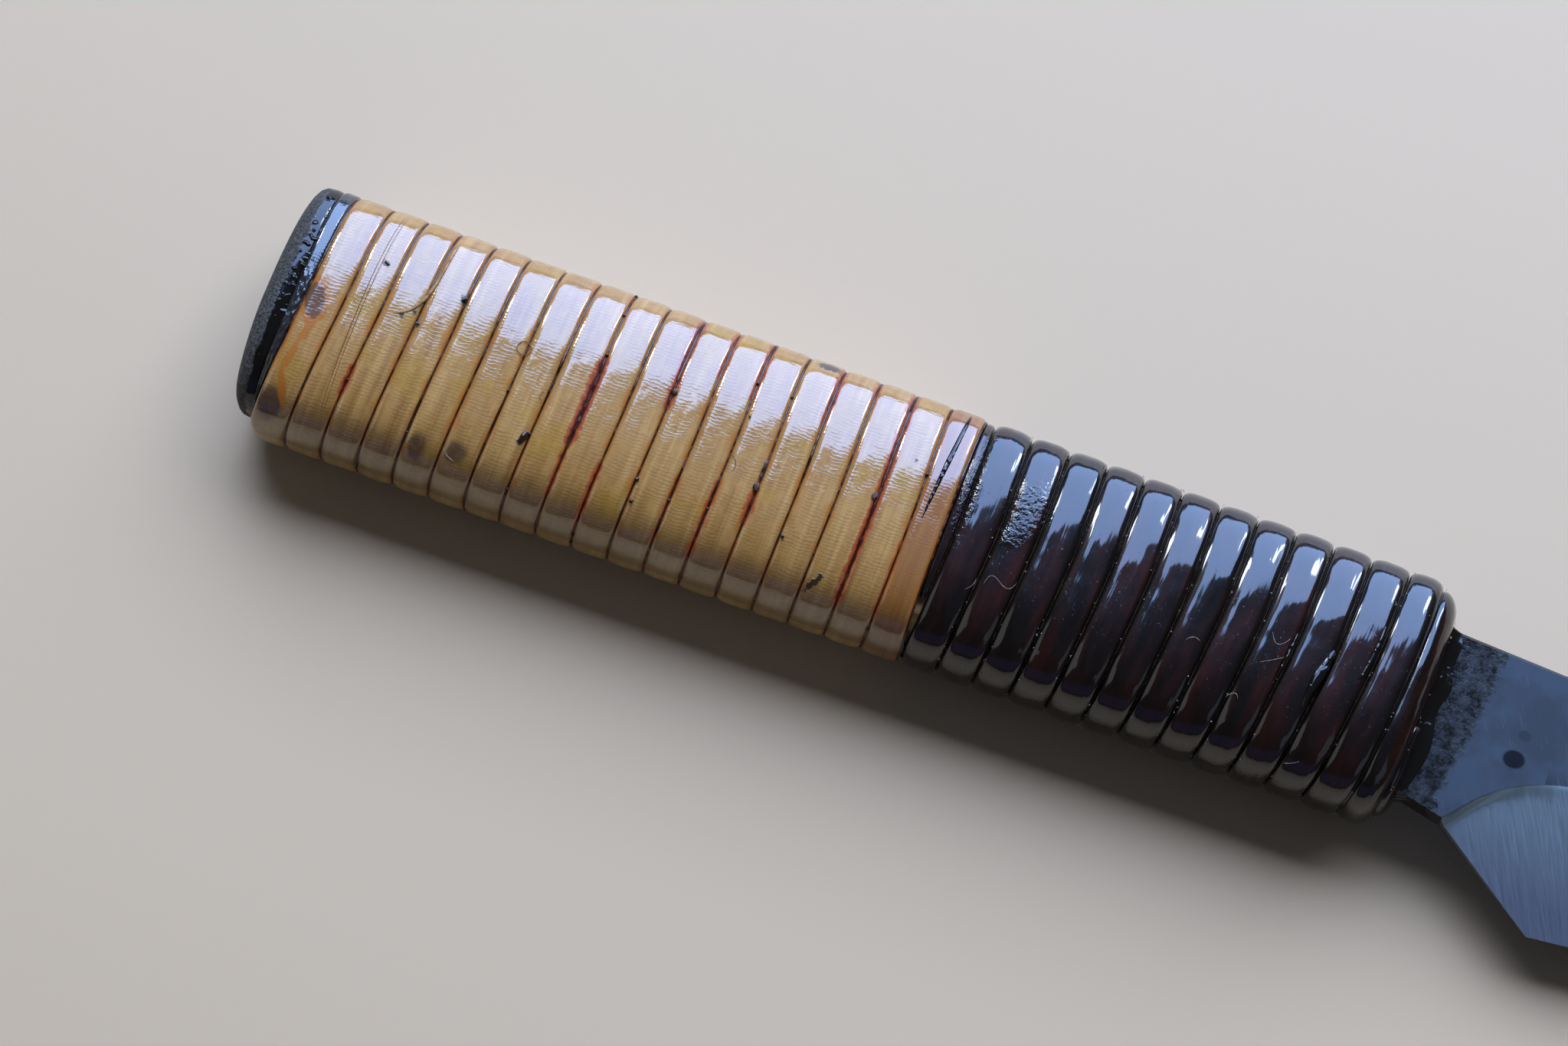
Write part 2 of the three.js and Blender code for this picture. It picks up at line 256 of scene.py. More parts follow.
@dataclass(frozen=True)
class HandleShape:
    """The outer surface that the windings, the cap and the shoulder share, in metres."""

    neck_x: float
    butt_x: float
    centre_y: float
    middle_z: float
    half_thickness: float
    half_width_at_neck: float
    half_width_at_butt: float
    squareness: float = 3.0

    @staticmethod
    def from_frame() -> "HandleShape":
        """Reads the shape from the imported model's boxes.

        Returns:
            The handle's shape.
        """
        peg_low, peg_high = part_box("tang_peg_front")
        seal_low, seal_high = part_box("shoulder_seal")
        cane_low, cane_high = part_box("natural_cane_winding")
        cap_low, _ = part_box("butt_cap")
        centre_y = (peg_low.y + peg_high.y) / 2
        at_neck = seal_high.y - centre_y
        at_butt = cane_high.y - centre_y
        slope = (at_butt - at_neck) / (seal_low.x - cane_low.x)
        return HandleShape(
            neck_x=seal_high.x,
            butt_x=cap_low.x,
            centre_y=centre_y,
            middle_z=(cane_low.z + cane_high.z) / 2,
            half_thickness=(cane_high.z - cane_low.z) / 2,
            half_width_at_neck=at_neck - slope * (seal_high.x - seal_low.x),
            half_width_at_butt=at_butt + slope * (cane_low.x - cap_low.x),
        )

    @property
    def slope(self) -> float:
        """Half width lost per metre towards the neck."""
        return (self.half_width_at_butt - self.half_width_at_neck) / (self.neck_x - self.butt_x)

    def half_width(self, x: np.ndarray) -> np.ndarray:
        """Returns the half width at places along x."""
        return self.half_width_at_neck + self.slope * (self.neck_x - x)

    def point(self, x: np.ndarray, inset: np.ndarray, angle: np.ndarray) -> np.ndarray:
        """Finds points below the outer surface.

        Args:
            x: places along the handle.
            inset: depths below the surface.
            angle: angles round the handle, 0 at the spine's side and a quarter turn at the front.

        Returns:
            One row of x, y and z for each point.
        """
        cosine, sine = np.cos(angle), np.sin(angle)
        power = self.squareness
        reach = (np.abs(cosine) ** power + np.abs(sine) ** power) ** (-1 / power)
        y = self.centre_y + (self.half_width(x) - inset) * cosine * reach
        z = self.middle_z + (self.half_thickness - inset) * sine * reach
        return np.stack([np.broadcast_to(x, y.shape), y, z], axis=-1)


# ---------------------------------------------------------------------------------------------------
# Mesh helpers
# ---------------------------------------------------------------------------------------------------


def add_object(name: str, data: bpy.types.ID) -> bpy.types.Object:
    """Puts a mesh, a light or a camera into the scene as an object at the origin."""
    thing = bpy.data.objects.new(name, data)
    bpy.context.scene.collection.objects.link(thing)
    return thing


def skin_faces(count: int, width: int, first: int = 0) -> list[tuple[int, ...]]:
    """Joins rings of points with faces and fills the two end rings.

    Args:
        count: the number of rings.
        width: the number of points in a ring.
        first: the number of the first ring's first point.

    Returns:
        The faces, each as its points' numbers.
    """
    faces = []
    for i in range(count - 1):
        here, above = first + i * width, first + (i + 1) * width
        for j in range(width):
            k = (j + 1) % width
            faces.append((here + j, here + k, above + k, above + j))
    faces.append(tuple(first + j for j in reversed(range(width))))
    faces.append(tuple(first + (count - 1) * width + j for j in range(width)))
    return faces


def ring_piece(name: str, skins: Sequence[np.ndarray], material: bpy.types.Material) -> bpy.types.Object:
    """Builds a piece out of closed skins, each given as rings of points.

    Args:
        name: the piece's name.
        skins: for each skin an array of rings by points by 3.
        material: the piece's finish.

    Returns:
        The piece, with its faces pointing out.
    """
    points, faces = [], []
    for rings in skins:
        faces += skin_faces(*rings.shape[:2], first=len(points))
        points += rings.reshape(-1, 3).tolist()
    mesh = bpy.data.meshes.new(name)
    mesh.from_pydata(points, [], faces)
    close_mesh(mesh)
    mesh.materials.append(material)
    return add_object(name, mesh)


def close_mesh(mesh: bpy.types.Mesh) -> None:
    """Merges doubled points, fills open rings, turns the faces outwards and smooths them."""
    work = bmesh.new()
    work.from_mesh(mesh)
    bmesh.ops.remove_doubles(work, verts=work.verts, dist=SAME_PLACE)
    open_edges = [edge for edge in work.edges if edge.is_boundary]
    if open_edges:
        bmesh.ops.holes_fill(work, edges=open_edges, sides=0)
    bmesh.ops.recalc_face_normals(work, faces=work.faces)
    for face in work.faces:
        face.smooth = True
    work.to_mesh(mesh)
    work.free()
    mesh.update()


def baked(carrier: bpy.types.Object, name: str) -> bpy.types.Object:
    """Turns an object with a live node tree into a plain mesh object.

    Args:
        carrier: the object that holds the modifier; it is removed.
        name: the new object's name.

    Returns:
        The plain mesh object.
    """
    bpy.context.view_layer.update()
    graph = bpy.context.evaluated_depsgraph_get()
    mesh = bpy.data.meshes.new_from_object(carrier.evaluated_get(graph))
    mesh.name = name
    bpy.data.objects.remove(carrier)
    return add_object(name, mesh)


def paint(mesh: bpy.types.Mesh, name: str, values: np.ndarray) -> None:
    """Stores one number for each point of a mesh under a name that materials read."""
    layer = mesh.attributes.new(name, "FLOAT", "POINT")
    layer.data.foreach_set("value", values.astype(np.float32))


def points_of(mesh: bpy.types.Mesh) -> np.ndarray:
    """Returns a mesh's points as rows of x, y and z."""
    flat = np.zeros(len(mesh.vertices) * 3, np.float32)
    mesh.vertices.foreach_get("co", flat)
    return flat.reshape(-1, 3).astype(float)


def smooth_step(values: np.ndarray, low: float, high: float) -> np.ndarray:
    """Returns a smooth rise from 0 at low to 1 at high."""
    share = np.clip((values - low) / (high - low), 0, 1)
    return share * share * (3 - 2 * share)


# ---------------------------------------------------------------------------------------------------
# Finishes
# ---------------------------------------------------------------------------------------------------


class Finish:
    """A procedural material. Each kind says how its colour, gloss and relief are made."""

    name = "finish"

    def material(self) -> bpy.types.Material:
        """Builds the material.

        Returns:
            The finished material.
        """
        made = bpy.data.materials.new(self.name)
        made.use_nodes = True
        self.tree = made.node_tree
        self.shader = self.tree.nodes["Principled BSDF"]
        self.dress()
        return made

    def dress(self) -> None:
        """Adds the nodes; every kind of finish has its own."""
        raise NotImplementedError

    def place(self) -> Flow:
        """Returns the place on the piece in millimetres."""
        node = self.tree.nodes.new("ShaderNodeTexCoord")
        scaled = self.tree.nodes.new("ShaderNodeVectorMath")
        scaled.operation = "SCALE"
        scaled.inputs["Scale"].default_value = 1 / MM
        self.tree.links.new(node.outputs["Object"], scaled.inputs[0])
        return Flow(self.tree, scaled.outputs[0])

    def strip_place(self) -> tuple[Flow, Flow]:
        """Returns the place along a strip in millimetres and the share across it."""
        node = self.tree.nodes.new("ShaderNodeUVMap")
        node.uv_map = "winding"
        along, across, _ = parts_of(Flow(self.tree, node.outputs[0]))
        return along, across

    def painted(self, name: str) -> Flow:
        """Returns a number that was painted on the mesh."""
        node = self.tree.nodes.new("ShaderNodeAttribute")
        node.attribute_name = name
        return Flow(self.tree, node.outputs["Fac"])

    def colour(self, colour: Colour) -> Flow:
        """Returns a plain colour as a value."""
        node = self.tree.nodes.new("ShaderNodeRGB")
        node.outputs[0].default_value = (*colour, 1)
        return Flow(self.tree, node.outputs[0])

    def tinted(self, under: Flow, over: "Flow | Colour", share: Flow) -> Flow:
        """Lays one colour over another.

        Args:
            under: the colour below.
            over: the colour laid on it.
            share: how strongly it covers.

        Returns:
            The mixed colour.
        """
        node = self.tree.nodes.new("ShaderNodeMix")
        node.data_type = "RGBA"
        plug(self.tree, node.inputs[0], share)
        top = over if isinstance(over, Flow) else self.colour(over)
        self.tree.links.new(under.socket, node.inputs[6])
        self.tree.links.new(top.socket, node.inputs[7])
        return Flow(self.tree, node.outputs[2])

    def relief(self, height: Flow, depth_mm: float, strength: float = 1.0) -> Flow:
        """Turns a height between 0 and 1 into a bumped normal.

        Args:
            height: the height field.
            depth_mm: the depth that a height of 1 stands for.
            strength: the share of the full effect.

        Returns:
            The bumped normal.
        """
        node = self.tree.nodes.new("ShaderNodeBump")
        node.inputs["Strength"].default_value = strength
        node.inputs["Distance"].default_value = depth_mm * MM
        plug(self.tree, node.inputs["Height"], height)
        return Flow(self.tree, node.outputs[0])

    def set(self, **values: float) -> None:
        """Sets plain numbers on the shader's sockets, named with _ for a space."""
        for name, value in values.items():
            self.shader.inputs[name.replace("_", " ")].default_value = value

    def feed(self, name: str, value: Flow) -> None:
        """Links a value to one of the shader's sockets."""
        self.tree.links.new(value.socket, self.shader.inputs[name])


@dataclass
class NaturalCane(Finish):
    """Honey-coloured split cane under clear gloss lacquer."""

    strip_width: float
    name: str = "natural_cane"
    honey: Colour = (0.47, 0.29, 0.095)
    straw: Colour = (0.60, 0.42, 0.165)
    toffee: Colour = (0.25, 0.125, 0.045)
    gold: Colour = (0.47, 0.30, 0.035)
    amber: Colour = (0.46, 0.17, 0.008)
    fire: Colour = (0.42, 0.075, 0.001)
    rust: Colour = (0.11, 0.008, 0.001)
    caramel: Colour = (0.30, 0.125, 0.03)
    umber: Colour = (0.075, 0.04, 0.022)
    plum: Colour = (0.075, 0.042, 0.034)
    bark: Colour = (0.03, 0.014, 0.007)
    tar: Colour = (0.006, 0.005, 0.005)
    ring_pitch: float = 0.4

    def dress(self) -> None:
        """Makes the streaks, cross rings, lacquer tints, scars and gloss."""
        along, across = self.strip_place()
        width = across * self.strip_width
        where = vector(self.tree, along, width)
        edge = across.least(1.0 - across) * self.strip_width
        streak = noise(vector(self.tree, along * 0.035, width * 1.1), 1.0, 3.0, 0.55)
        cloud = noise(where, 0.17, 2.0)
        rings = self.rings(along, width, where)
        base = self.tinted(self.colour(self.honey), self.straw, streak.ramp(0.45, 0.7))
        base = self.tinted(base, self.toffee, streak.ramp(0.46, 0.28) * 0.5)
        base = self.tinted(base, self.gold, cloud.ramp(0.5, 0.68) * 0.75)
        base = self.tinted(base, self.toffee, rings * 0.6)
        fleck = noise(where, 1.1, 2.0).ramp(0.5, 0.7)
        base = self.tinted(base, self.straw, (1.0 - rings) * fleck * 0.35)
        aged = self.painted("aged") * streak.ramp(0.3, 0.6, 0.5, 0.95)
        base = self.edge_tints(self.tinted(base, self.caramel, aged), where, edge)
        base, crust = self.marks(base, where, edge)
        self.feed("Base Color", base)

        waves = noise(vector(self.tree, along * 0.35, width * 0.5), 1.0, 2.0) * 0.65
        pits = noise(where, 1.7, 3.0, 0.7)
        wet = noise(where, 1.1, 0.0) * self.painted("beaded")
        height = waves + rings * 0.04 + crust * 0.4 + pits * 0.1 + wet * 1.6
        self.feed("Normal", self.relief(height, 0.14, 0.8))
        self.feed("Coat Normal", self.relief(height, 0.14, 0.6))
        self.feed("Roughness", streak.ramp(0.2, 0.8, 0.42, 0.6))
        self.set(Coat_Weight=1.0, Coat_Roughness=0.07, Coat_IOR=1.8, IOR=1.45)
        self.set(Specular_IOR_Level=0.28)

    def rings(self, along: Flow, width: Flow, where: Flow) -> Flow:
        """Returns the fine wavy rings that cross the cane."""
        wander = noise(vector(self.tree, along * 0.5, width * 0.55), 1.0, 3.0, 0.6)
        phase = (along + (wander - 0.5) * 1.0) * (TURN / self.ring_pitch)
        ring = (phase.sin() * 0.5 + 0.5) ** 3.0
        patchy = noise(where, 0.5, 3.0).ramp(0.3, 0.58)
        return ring * patchy

    def edge_tints(self, base: Flow, where: Flow, edge: Flow) -> Flow:
        """Lays amber and brown along the strip's two edges."""
        ragged = edge + (noise(where, 0.3, 3.0) - 0.5) * 2.2
        base = self.tinted(base, self.amber, ragged.ramp(0.65, -0.1) * 0.85)
        return self.tinted(base, self.bark, edge.ramp(0.12, 0.02) * 0.85)

    def marks(self, base: Flow, where: Flow, edge: Flow) -> tuple[Flow, Flow]:
        """Lays on the painted shade towards the low side with the dark patches, the seeped red, the runs,
        the scars and the tar.

        Args:
            base: the cane's colour.
            where: the place on the strip.
            edge: the distance from the nearer edge.

        Returns:
            The colour and the scars' crust.
        """
        grain = noise(where, 1.5, 4.0, 0.6)
        # painted shade: plum darkening towards the low side, away from the lights; the dark patches share
        # this mark
        shade = self.painted("shade")
        shade = shade + (grain - 0.5) * 0.7 * shade.least(1.0)
        base = self.tinted(base, self.plum, shade.ramp(0.1, 1.0) * 0.92)
        bleed = self.painted("bleed")
        broken = noise(where, 1.1, 3.0, 0.65) - 0.5
        reach = bleed * 0.6 + broken * 1.1 * bleed.above(0.02) - edge
        share = bleed.ramp(0.03, 0.4)
        base = self.tinted(base, self.fire, reach.ramp(-0.2, 0.05) * share * 0.92)
        base = self.tinted(base, self.rust, reach.ramp(0.1, 0.42) * share)
        run = self.painted("run")
        film = run + (grain - 0.5) * 0.45 * run.above(0.02)
        base = self.tinted(base, self.amber, film.ramp(0.15, 0.35) * 0.9)
        base = self.tinted(base, self.umber, film.ramp(0.6, 0.78) * 0.85)
        scar = self.painted("scar")
        crust = (scar + (noise(where, 2.6, 4.0, 0.7) - 0.5) * 1.2 * scar.above(0.03)).ramp(0.42, 0.62)
        base = self.tinted(base, self.bark, crust * 0.95)
        tar = (self.painted("tar") + (grain - 0.5) * 0.5).ramp(0.4, 0.6)
        return self.tinted(base, self.tar, tar), crust


@dataclass
class BlackCane(Finish):
    """Split cane under thick red-black lacquer."""

    strip_width: float
    name: str = "black_cane"
    pitch_black: Colour = (0.004, 0.003, 0.004)
    oxblood: Colour = (0.028, 0.005, 0.0045)
    edge_shade: Colour = (0.0015, 0.0015, 0.002)

    def dress(self) -> None:
        """Makes the red-brown depth, the painted shade along the edges, the drawn-out waves and the bubbled
        patches.
        """
        along, across = self.strip_place()
        width = across * self.strip_width
        where = vector(self.tree, along, width)
        depth = noise(vector(self.tree, along * 0.1, width * 0.45), 1.0, 3.0, 0.6)
        base = self.tinted(self.colour(self.pitch_black), self.oxblood, depth.ramp(0.36, 0.78))
        edge = across.least(1.0 - across) * self.strip_width
        # painted shade: the strip darkens towards both edges, where it turns down into the grooves
        base = self.tinted(base, self.edge_shade, edge.ramp(0.6, 0.1) * 0.9)
        self.feed("Base Color", base)
        drawn = noise(vector(self.tree, along * 0.07, width * 1.0), 1.0, 2.0)
        ripple = noise(vector(self.tree, along * 0.22, width * 0.4), 1.0, 1.0)
        speck = noise(where, 3.0, 3.0, 0.7)
        bubbles = noise(where, 1.7, 2.0, 0.6) * self.painted("bubbled")
        height = drawn * 0.5 + ripple * 0.9 + speck.ramp(0.64, 0.76) * 0.08 + bubbles * 1.3
        self.feed("Normal", self.relief(height, 0.2, 0.6))
        self.feed("Coat Normal", self.relief(height, 0.2, 0.8))
        self.feed("Roughness", depth.ramp(0.2, 0.8, 0.25, 0.4))
        self.set(Coat_Weight=1.0, Coat_Roughness=0.075, Coat_IOR=1.58, IOR=1.45)
        self.set(Specular_IOR_Level=0.12)


@dataclass
class BlackLacquer(Finish):
    """Thick black lacquer, dull and grainy at the rim and wet-looking where it ran together."""

    matt_until: float
    drop_depth: float = 0.35
    name: str = "black_lacquer"
    black: Colour = (0.006, 0.006, 0.0065)
    dust: Colour = (0.13, 0.14, 0.135)

    def dress(self) -> None:
        """Makes the dusty grain and the drops."""
        where = self.place()
        x, y, _ = parts_of(where)
        grain = noise(where, 3.5, 4.0, 0.75)
        ragged = x + (noise(where, 0.5, 3.0) - 0.5) * 1.4
        wet = ragged.ramp(self.matt_until - 0.25, self.matt_until + 0.25)
        dull = 1.0 - wet
        base = self.tinted(self.colour(self.black), self.dust, grain.ramp(0.35, 0.7) * dull)
        self.feed("Base Color", base)
        drops = noise(where, 1.6, 0.0).ramp(0.52, 0.8) * y.ramp(-2.0, 2.0, 0.15, 1.0)
        height = grain * dull * 0.8 + drops * y.ramp(12.0, 9.0, 0.15, 1.0) * wet * 0.7
        self.feed("Normal", self.relief(height, self.drop_depth, 1.0))
        self.feed("Roughness", dull.ramp(0.0, 1.0, 0.09, 0.62) + grain * dull * 0.2)
        self.set(IOR=1.52)


@dataclass
class GrooveLacquer(Finish):
    """The brown-black lacquer that fills the grooves of the natural winding."""

    name: str = "groove_lacquer"
    black: Colour = (0.018, 0.007, 0.003)
    brown: Colour = (0.10, 0.032, 0.008)

    def dress(self) -> None:
        """Makes the patchy brown-black."""
        where = self.place()
        patch = noise(where, 0.7, 3.0, 0.6)
        base = self.tinted(self.colour(self.black), self.brown, patch.ramp(0.45, 0.7))
        self.feed("Base Color", base)
        self.feed("Normal", self.relief(noise(where, 0.8, 1.0), 0.12, 0.8))
        self.feed("Roughness", patch.ramp(0.2, 0.8, 0.1, 0.3))
        self.set(IOR=1.52)


@dataclass
class BladeSteel(Finish):
    """Steel with a dark forged skin, a bright ground bevel, stains and a lacquer smear at the neck."""

    neck_x: float
    centre_y: float
    name: str = "blade_steel"
    skin: Colour = (0.027, 0.044, 0.068)
    dark_skin: Colour = (0.019, 0.028, 0.041)
    scored: Colour = (0.12, 0.14, 0.17)
    ground: Colour = (0.36, 0.46, 0.52)
    violet: Colour = (0.25, 0.27, 0.36)
    stain: Colour = (0.008, 0.008, 0.01)
    smear: Colour = (0.005, 0.0045, 0.004)
    dark_spot: tuple[float, float, float, float] = (9.99, -2.19, 1.25, 1.05)
    faint_spot: tuple[float, float, float, float] = (10.3, 0.6, 0.75, 0.65)

    def dress(self) -> None:
        """Makes the scratches, the two tones, the stains and the smear."""
        where = self.place()
        x, y, _ = parts_of(where)
        x = x - self.neck_x / MM
        y = y - self.centre_y / MM
        bevel = self.painted("ground")
        slanted = vector(self.tree, (x + y * 0.55) * 5.0, (y - x * 0.55) * 0.2)
        scratch = noise(slanted, 1.0, 4.0, 0.75)
        wheel = vector(self.tree, (x * 0.88 + y * 0.45) * 4.5, (y - x * 0.5) * 0.14)
        upright = noise(wheel, 1.0, 4.0, 0.7)
        cloud = noise(where, 0.16, 3.0, 0.6)
        flat = self.tinted(self.colour(self.skin), self.dark_skin, cloud.ramp(0.42, 0.66))
        flat = self.tinted(flat, self.scored, scratch.ramp(0.58, 0.74) * 0.4)
        face = self.tinted(self.colour(self.ground), self.violet, y.ramp(-7.0, -17.0) * 0.8)
        face = self.tinted(face, self.dark_skin, upright.ramp(0.5, 0.85) * 0.3)
        spots = self.stain_at(x, y, *self.dark_spot) * 0.93
        faint = self.stain_at(x, y, *self.faint_spot) * 0.5
        spots = spots.most(faint)
        lap = self.lacquer_lap(x, y)
        base = self.tinted(self.tinted(flat, face, bevel), self.stain, spots)
        self.feed("Base Color", self.tinted(base, self.smear, lap))
        self.feed("Metallic", (1.0 - lap) * (bevel * 0.55 + 0.4).most(spots))
        dullness = scratch.ramp(0.2, 0.8, 0.32, 0.46) + spots * 0.15
        crumpled = noise(where, 0.9, 4.0, 0.7)
        self.feed("Roughness", blend(dullness, crumpled.ramp(0.35, 0.65, 0.1, 0.28), lap))
        height = scratch * 0.4 + upright * bevel * 0.5 + crumpled * lap * 2.4
        self.feed("Normal", self.relief(height, 0.03, 0.5))
        self.set(IOR=1.5)

    def stain_at(self, x: Flow, y: Flow, at_x: float, at_y: float, wide: float, high: float) -> Flow:
        """Makes a soft oval stain.

        Args:
            x: the place along the blade.
            y: the place across it.
            at_x: the stain's middle along the blade.
            at_y: the stain's middle across it.
            wide: half of its length along the blade.
            high: half of its width across it.

        Returns:
            1 in the stain's middle and 0 outside it.
        """
        reach = ((x - at_x) / wide) ** 2.0 + ((y - at_y) / high) ** 2.0
        return reach.ramp(1.25, 0.6)

    def lacquer_lap(self, x: Flow, y: Flow) -> Flow:
        """Returns the lacquer that laps onto the neck: solid near the handle, thin and torn beyond."""
        wobble = noise(vector(self.tree, x, y), 0.55, 4.0, 0.65) - 0.5
        torn = noise(vector(self.tree, x * 0.9, y * 0.55), 1.0, 4.0, 0.7)
        solid = (y.ramp(-9.0, 6.0) * 0.8 + 1.6 + wobble * 3.4 - x).ramp(-0.3, 0.5)
        thin = (y.ramp(-9.0, 6.0) * 1.9 + 3.9 + wobble * 3.2 - x).ramp(-0.3, 0.6)
        return solid.most(thin * torn.ramp(0.3, 0.55, 0.5, 0.95))


@dataclass
class PlainWood(Finish):
    """Fine-grained pale wood for the parts inside the handle."""

    name: str = "core_wood"
    pale: Colour = (0.55, 0.4, 0.22)
    dark: Colour = (0.36, 0.22, 0.1)

    def dress(self) -> None:
        """Makes grain that runs along the handle."""
        x, y, z = parts_of(self.place())
        grain = noise(vector(self.tree, x * 0.06, y * 1.6, z * 1.6), 1.0, 4.0, 0.6)
        base = self.tinted(self.colour(self.pale), self.dark, grain.ramp(0.35, 0.7))
        self.feed("Base Color", base)
        self.feed("Normal", self.relief(grain, 0.1, 0.6))
        self.feed("Roughness", grain.ramp(0.2, 0.8, 0.55, 0.75))


@dataclass
class Dust(Finish):
    """Pale lint that stuck in the lacquer."""

    name: str = "lint"
    pale: Colour = (0.5, 0.5, 0.52)
    grey: Colour = (0.25, 0.25, 0.28)

    def dress(self) -> None:
        """Makes the uneven pale fibre."""
        base = self.tinted(self.colour(self.pale), self.grey, noise(self.place(), 2.0).ramp(0.4, 0.6))
        self.feed("Base Color", base)
        self.feed("Roughness", noise(self.place(), 4.0).ramp(0.0, 1.0, 0.4, 0.7))


# ---------------------------------------------------------------------------------------------------
# Windings
# ---------------------------------------------------------------------------------------------------


class WindingInput(Enum):
    """The named inputs of a winding's node tree, with the values that they start from."""

    START = ("Start", 0.0)
    END = ("End", 0.1)
    LEAD = ("Lead", 0.002)
    BOW = ("Bow", 0.0002)
    PITCH = ("Pitch", 0.004)
    TURNS = ("Turns", 10.0)
    FIRST_TURN = ("First turn", 0.1)
    LAST_TURN = ("Last turn", 11.0)
    GAP = ("Gap", 0.0002)
    THICKNESS = ("Thickness", 0.001)
    FLATNESS = ("Flatness", 0.5)
    CROWNING = ("Crowning", 0.7)
    BACK_SHARE_AT_START = ("Back share at start", 0.9)
    BACK_SHARE_AT_END = ("Back share at end", 0.9)
    WANDER = ("Wander", 0.0001)
    LUMPS = ("Lumps", 0.00005)
    SEED = ("Seed", 1.0)

    @property
    def label(self) -> str:
        """The input's name in the tree."""
        return self.value[0]

    @property
    def start_value(self) -> float:
        """The value that the input starts from."""
        return self.value[1]


@dataclass(frozen=True)
class Specks:
    """How many small drops lie along a winding's grooves, and how large they are."""

    name: str
    count: int
    radius: float
    sunk: float
    spread: float
    seed: int
    sizes: tuple[float, float] = (0.5, 1.3)
    roundness: int = 2
    from_turn: float = 0.2
    short_of_end: float = 0.4


@dataclass
class Winding:
    """A strip of cane wound round the handle, made by a node tree.

    Turns are counted from the handle's spine side, over the back and up over the front. Each turn moves
    on by one pitch, unevenly between back and front. Both ends of the strip taper against the winding's
    straight ends. Past the shoulder's start the strip follows the shoulder's rounding and runs down the
    handle's front face.
    """

    handle: HandleShape
    name: str
    start: float
    end: float
    lead: float
    pitch: float
    turns: int
    thickness: float
    flatness: float
    crowning: float
    back_share_at_start: float
    back_share_at_end: float
    first_turn: float
    last_turn: float
    bow: float = 0.24 * MM
    bow_turn: float = 0.73
    gap: float = 0.07 * MM
    least_width: float = 0.15 * MM
    full_width: float = 1.6 * MM
    wander: float = 0.2 * MM
    lumps: float = 0.07 * MM
    seed: float = 1.0
    sunk: float = STRIP_SUNK
    shoulder_radius: float = 3.0 * MM
    steps_per_turn: int = 112
    ring_points: int = 36
    evenness: float = 0.45
    calm_turns: float = 0.6
    least_height: float = 0.25
    outline_points: int = 721

    def values(self) -> dict[WindingInput, float]:
        """Returns the value of every input, from the field of the same name."""
        return {entry: float(getattr(self, entry.name.lower())) for entry in WindingInput}

    def boundary(self, turn: Flow, given: dict[WindingInput, Flow]) -> Flow:
        """Finds where the groove between two turns lies along the handle.

        Args:
            turn: the number of turns from the winding's start.
            given: the tree's inputs.

        Returns:
            The place along x, before the shoulder's rounding.
        """
        share = blend(
            given[WindingInput.BACK_SHARE_AT_START],
            given[WindingInput.BACK_SHARE_AT_END],
            turn / given[WindingInput.TURNS],
        )
        advance = turn + share * (1.0 - (turn * TURN).cos()) / TURN
        where = vector(turn.tree, turn * 1.9, given[WindingInput.SEED])
        calm = self.calm_turns
        inner = (turn / calm).least((given[WindingInput.TURNS] - turn) / calm).least(1.0).most(0.0)
        wobble = (noise(where, 1.0, 3.0) - 0.5) * 2.0 * given[WindingInput.WANDER] * inner
        bow = ((turn - self.bow_turn) * (2 * TURN)).cos() * given[WindingInput.BOW]
        place = given[WindingInput.START] + given[WindingInput.LEAD] + advance * given[WindingInput.PITCH]
        return (place + wobble + bow).most(given[WindingInput.START]).least(given[WindingInput.END])

    def surface(self, along: Flow, angle: Flow, depth: Flow) -> Flow:
        """Places a point on the handle, rounding the shoulder on the way.

        Args:
            along: the place along x, measured over the shoulder's rounding.
            angle: the angle round the handle.
            depth: the depth below the outer surface.

        Returns:
            The point.
        """
        shape, radius = self.handle, self.shoulder_radius
        past = (along - (shape.neck_x - radius)).most(0.0)
        bend = (past / radius).least(math.pi / 2)
        down = (past - radius * math.pi / 2).most(0.0)
        x = along.least(shape.neck_x - radius) + bend.sin() * (radius - depth)
        inset = radius - bend.cos() * (radius - depth) + down
        half_width = (shape.neck_x - x) * shape.slope + shape.half_width_at_neck - inset
        half_height = shape.half_thickness - inset
        cosine, sine = angle.cos(), angle.sin()
        power = shape.squareness
        reach = (cosine.size() ** power + sine.size() ** power) ** (-1 / power)
        y = half_width * cosine * reach + shape.centre_y
        z = half_height * sine * reach + shape.middle_z
        return vector(along.tree, x, y, z)

    def open_tree(self, name: str) -> tuple[bpy.types.NodeTree, dict[WindingInput, Flow]]:
        """Starts a node tree with the winding's named inputs.

        Args:
            name: the tree's name.

        Returns:
            The tree and its inputs.
        """
        tree = bpy.data.node_groups.new(name, "GeometryNodeTree")
        tree.interface.new_socket("Geometry", in_out="OUTPUT", socket_type="NodeSocketGeometry")
        for entry in WindingInput:
            socket = tree.interface.new_socket(entry.label, in_out="INPUT", socket_type="NodeSocketFloat")
            socket.default_value = entry.start_value
        source = tree.nodes.new("NodeGroupInput")
        given = {entry: Flow(tree, source.outputs[entry.label]) for entry in WindingInput}
        return tree, given

    def close_tree(self, tree: bpy.types.NodeTree, geometry: bpy.types.NodeSocket,
                   material: bpy.types.Material) -> None:
        """Ends a node tree with real instances and its material."""
        real = tree.nodes.new("GeometryNodeRealizeInstances")
        smooth = tree.nodes.new("GeometryNodeSetShadeSmooth")
        finish = tree.nodes.new("GeometryNodeSetMaterial")
        finish.inputs["Material"].default_value = material
        out = tree.nodes.new("NodeGroupOutput")
        tree.links.new(geometry, real.inputs["Geometry"])
        tree.links.new(real.outputs[0], smooth.inputs["Geometry"])
        tree.links.new(smooth.outputs[0], finish.inputs["Geometry"])
        tree.links.new(finish.outputs[0], out.inputs[0])

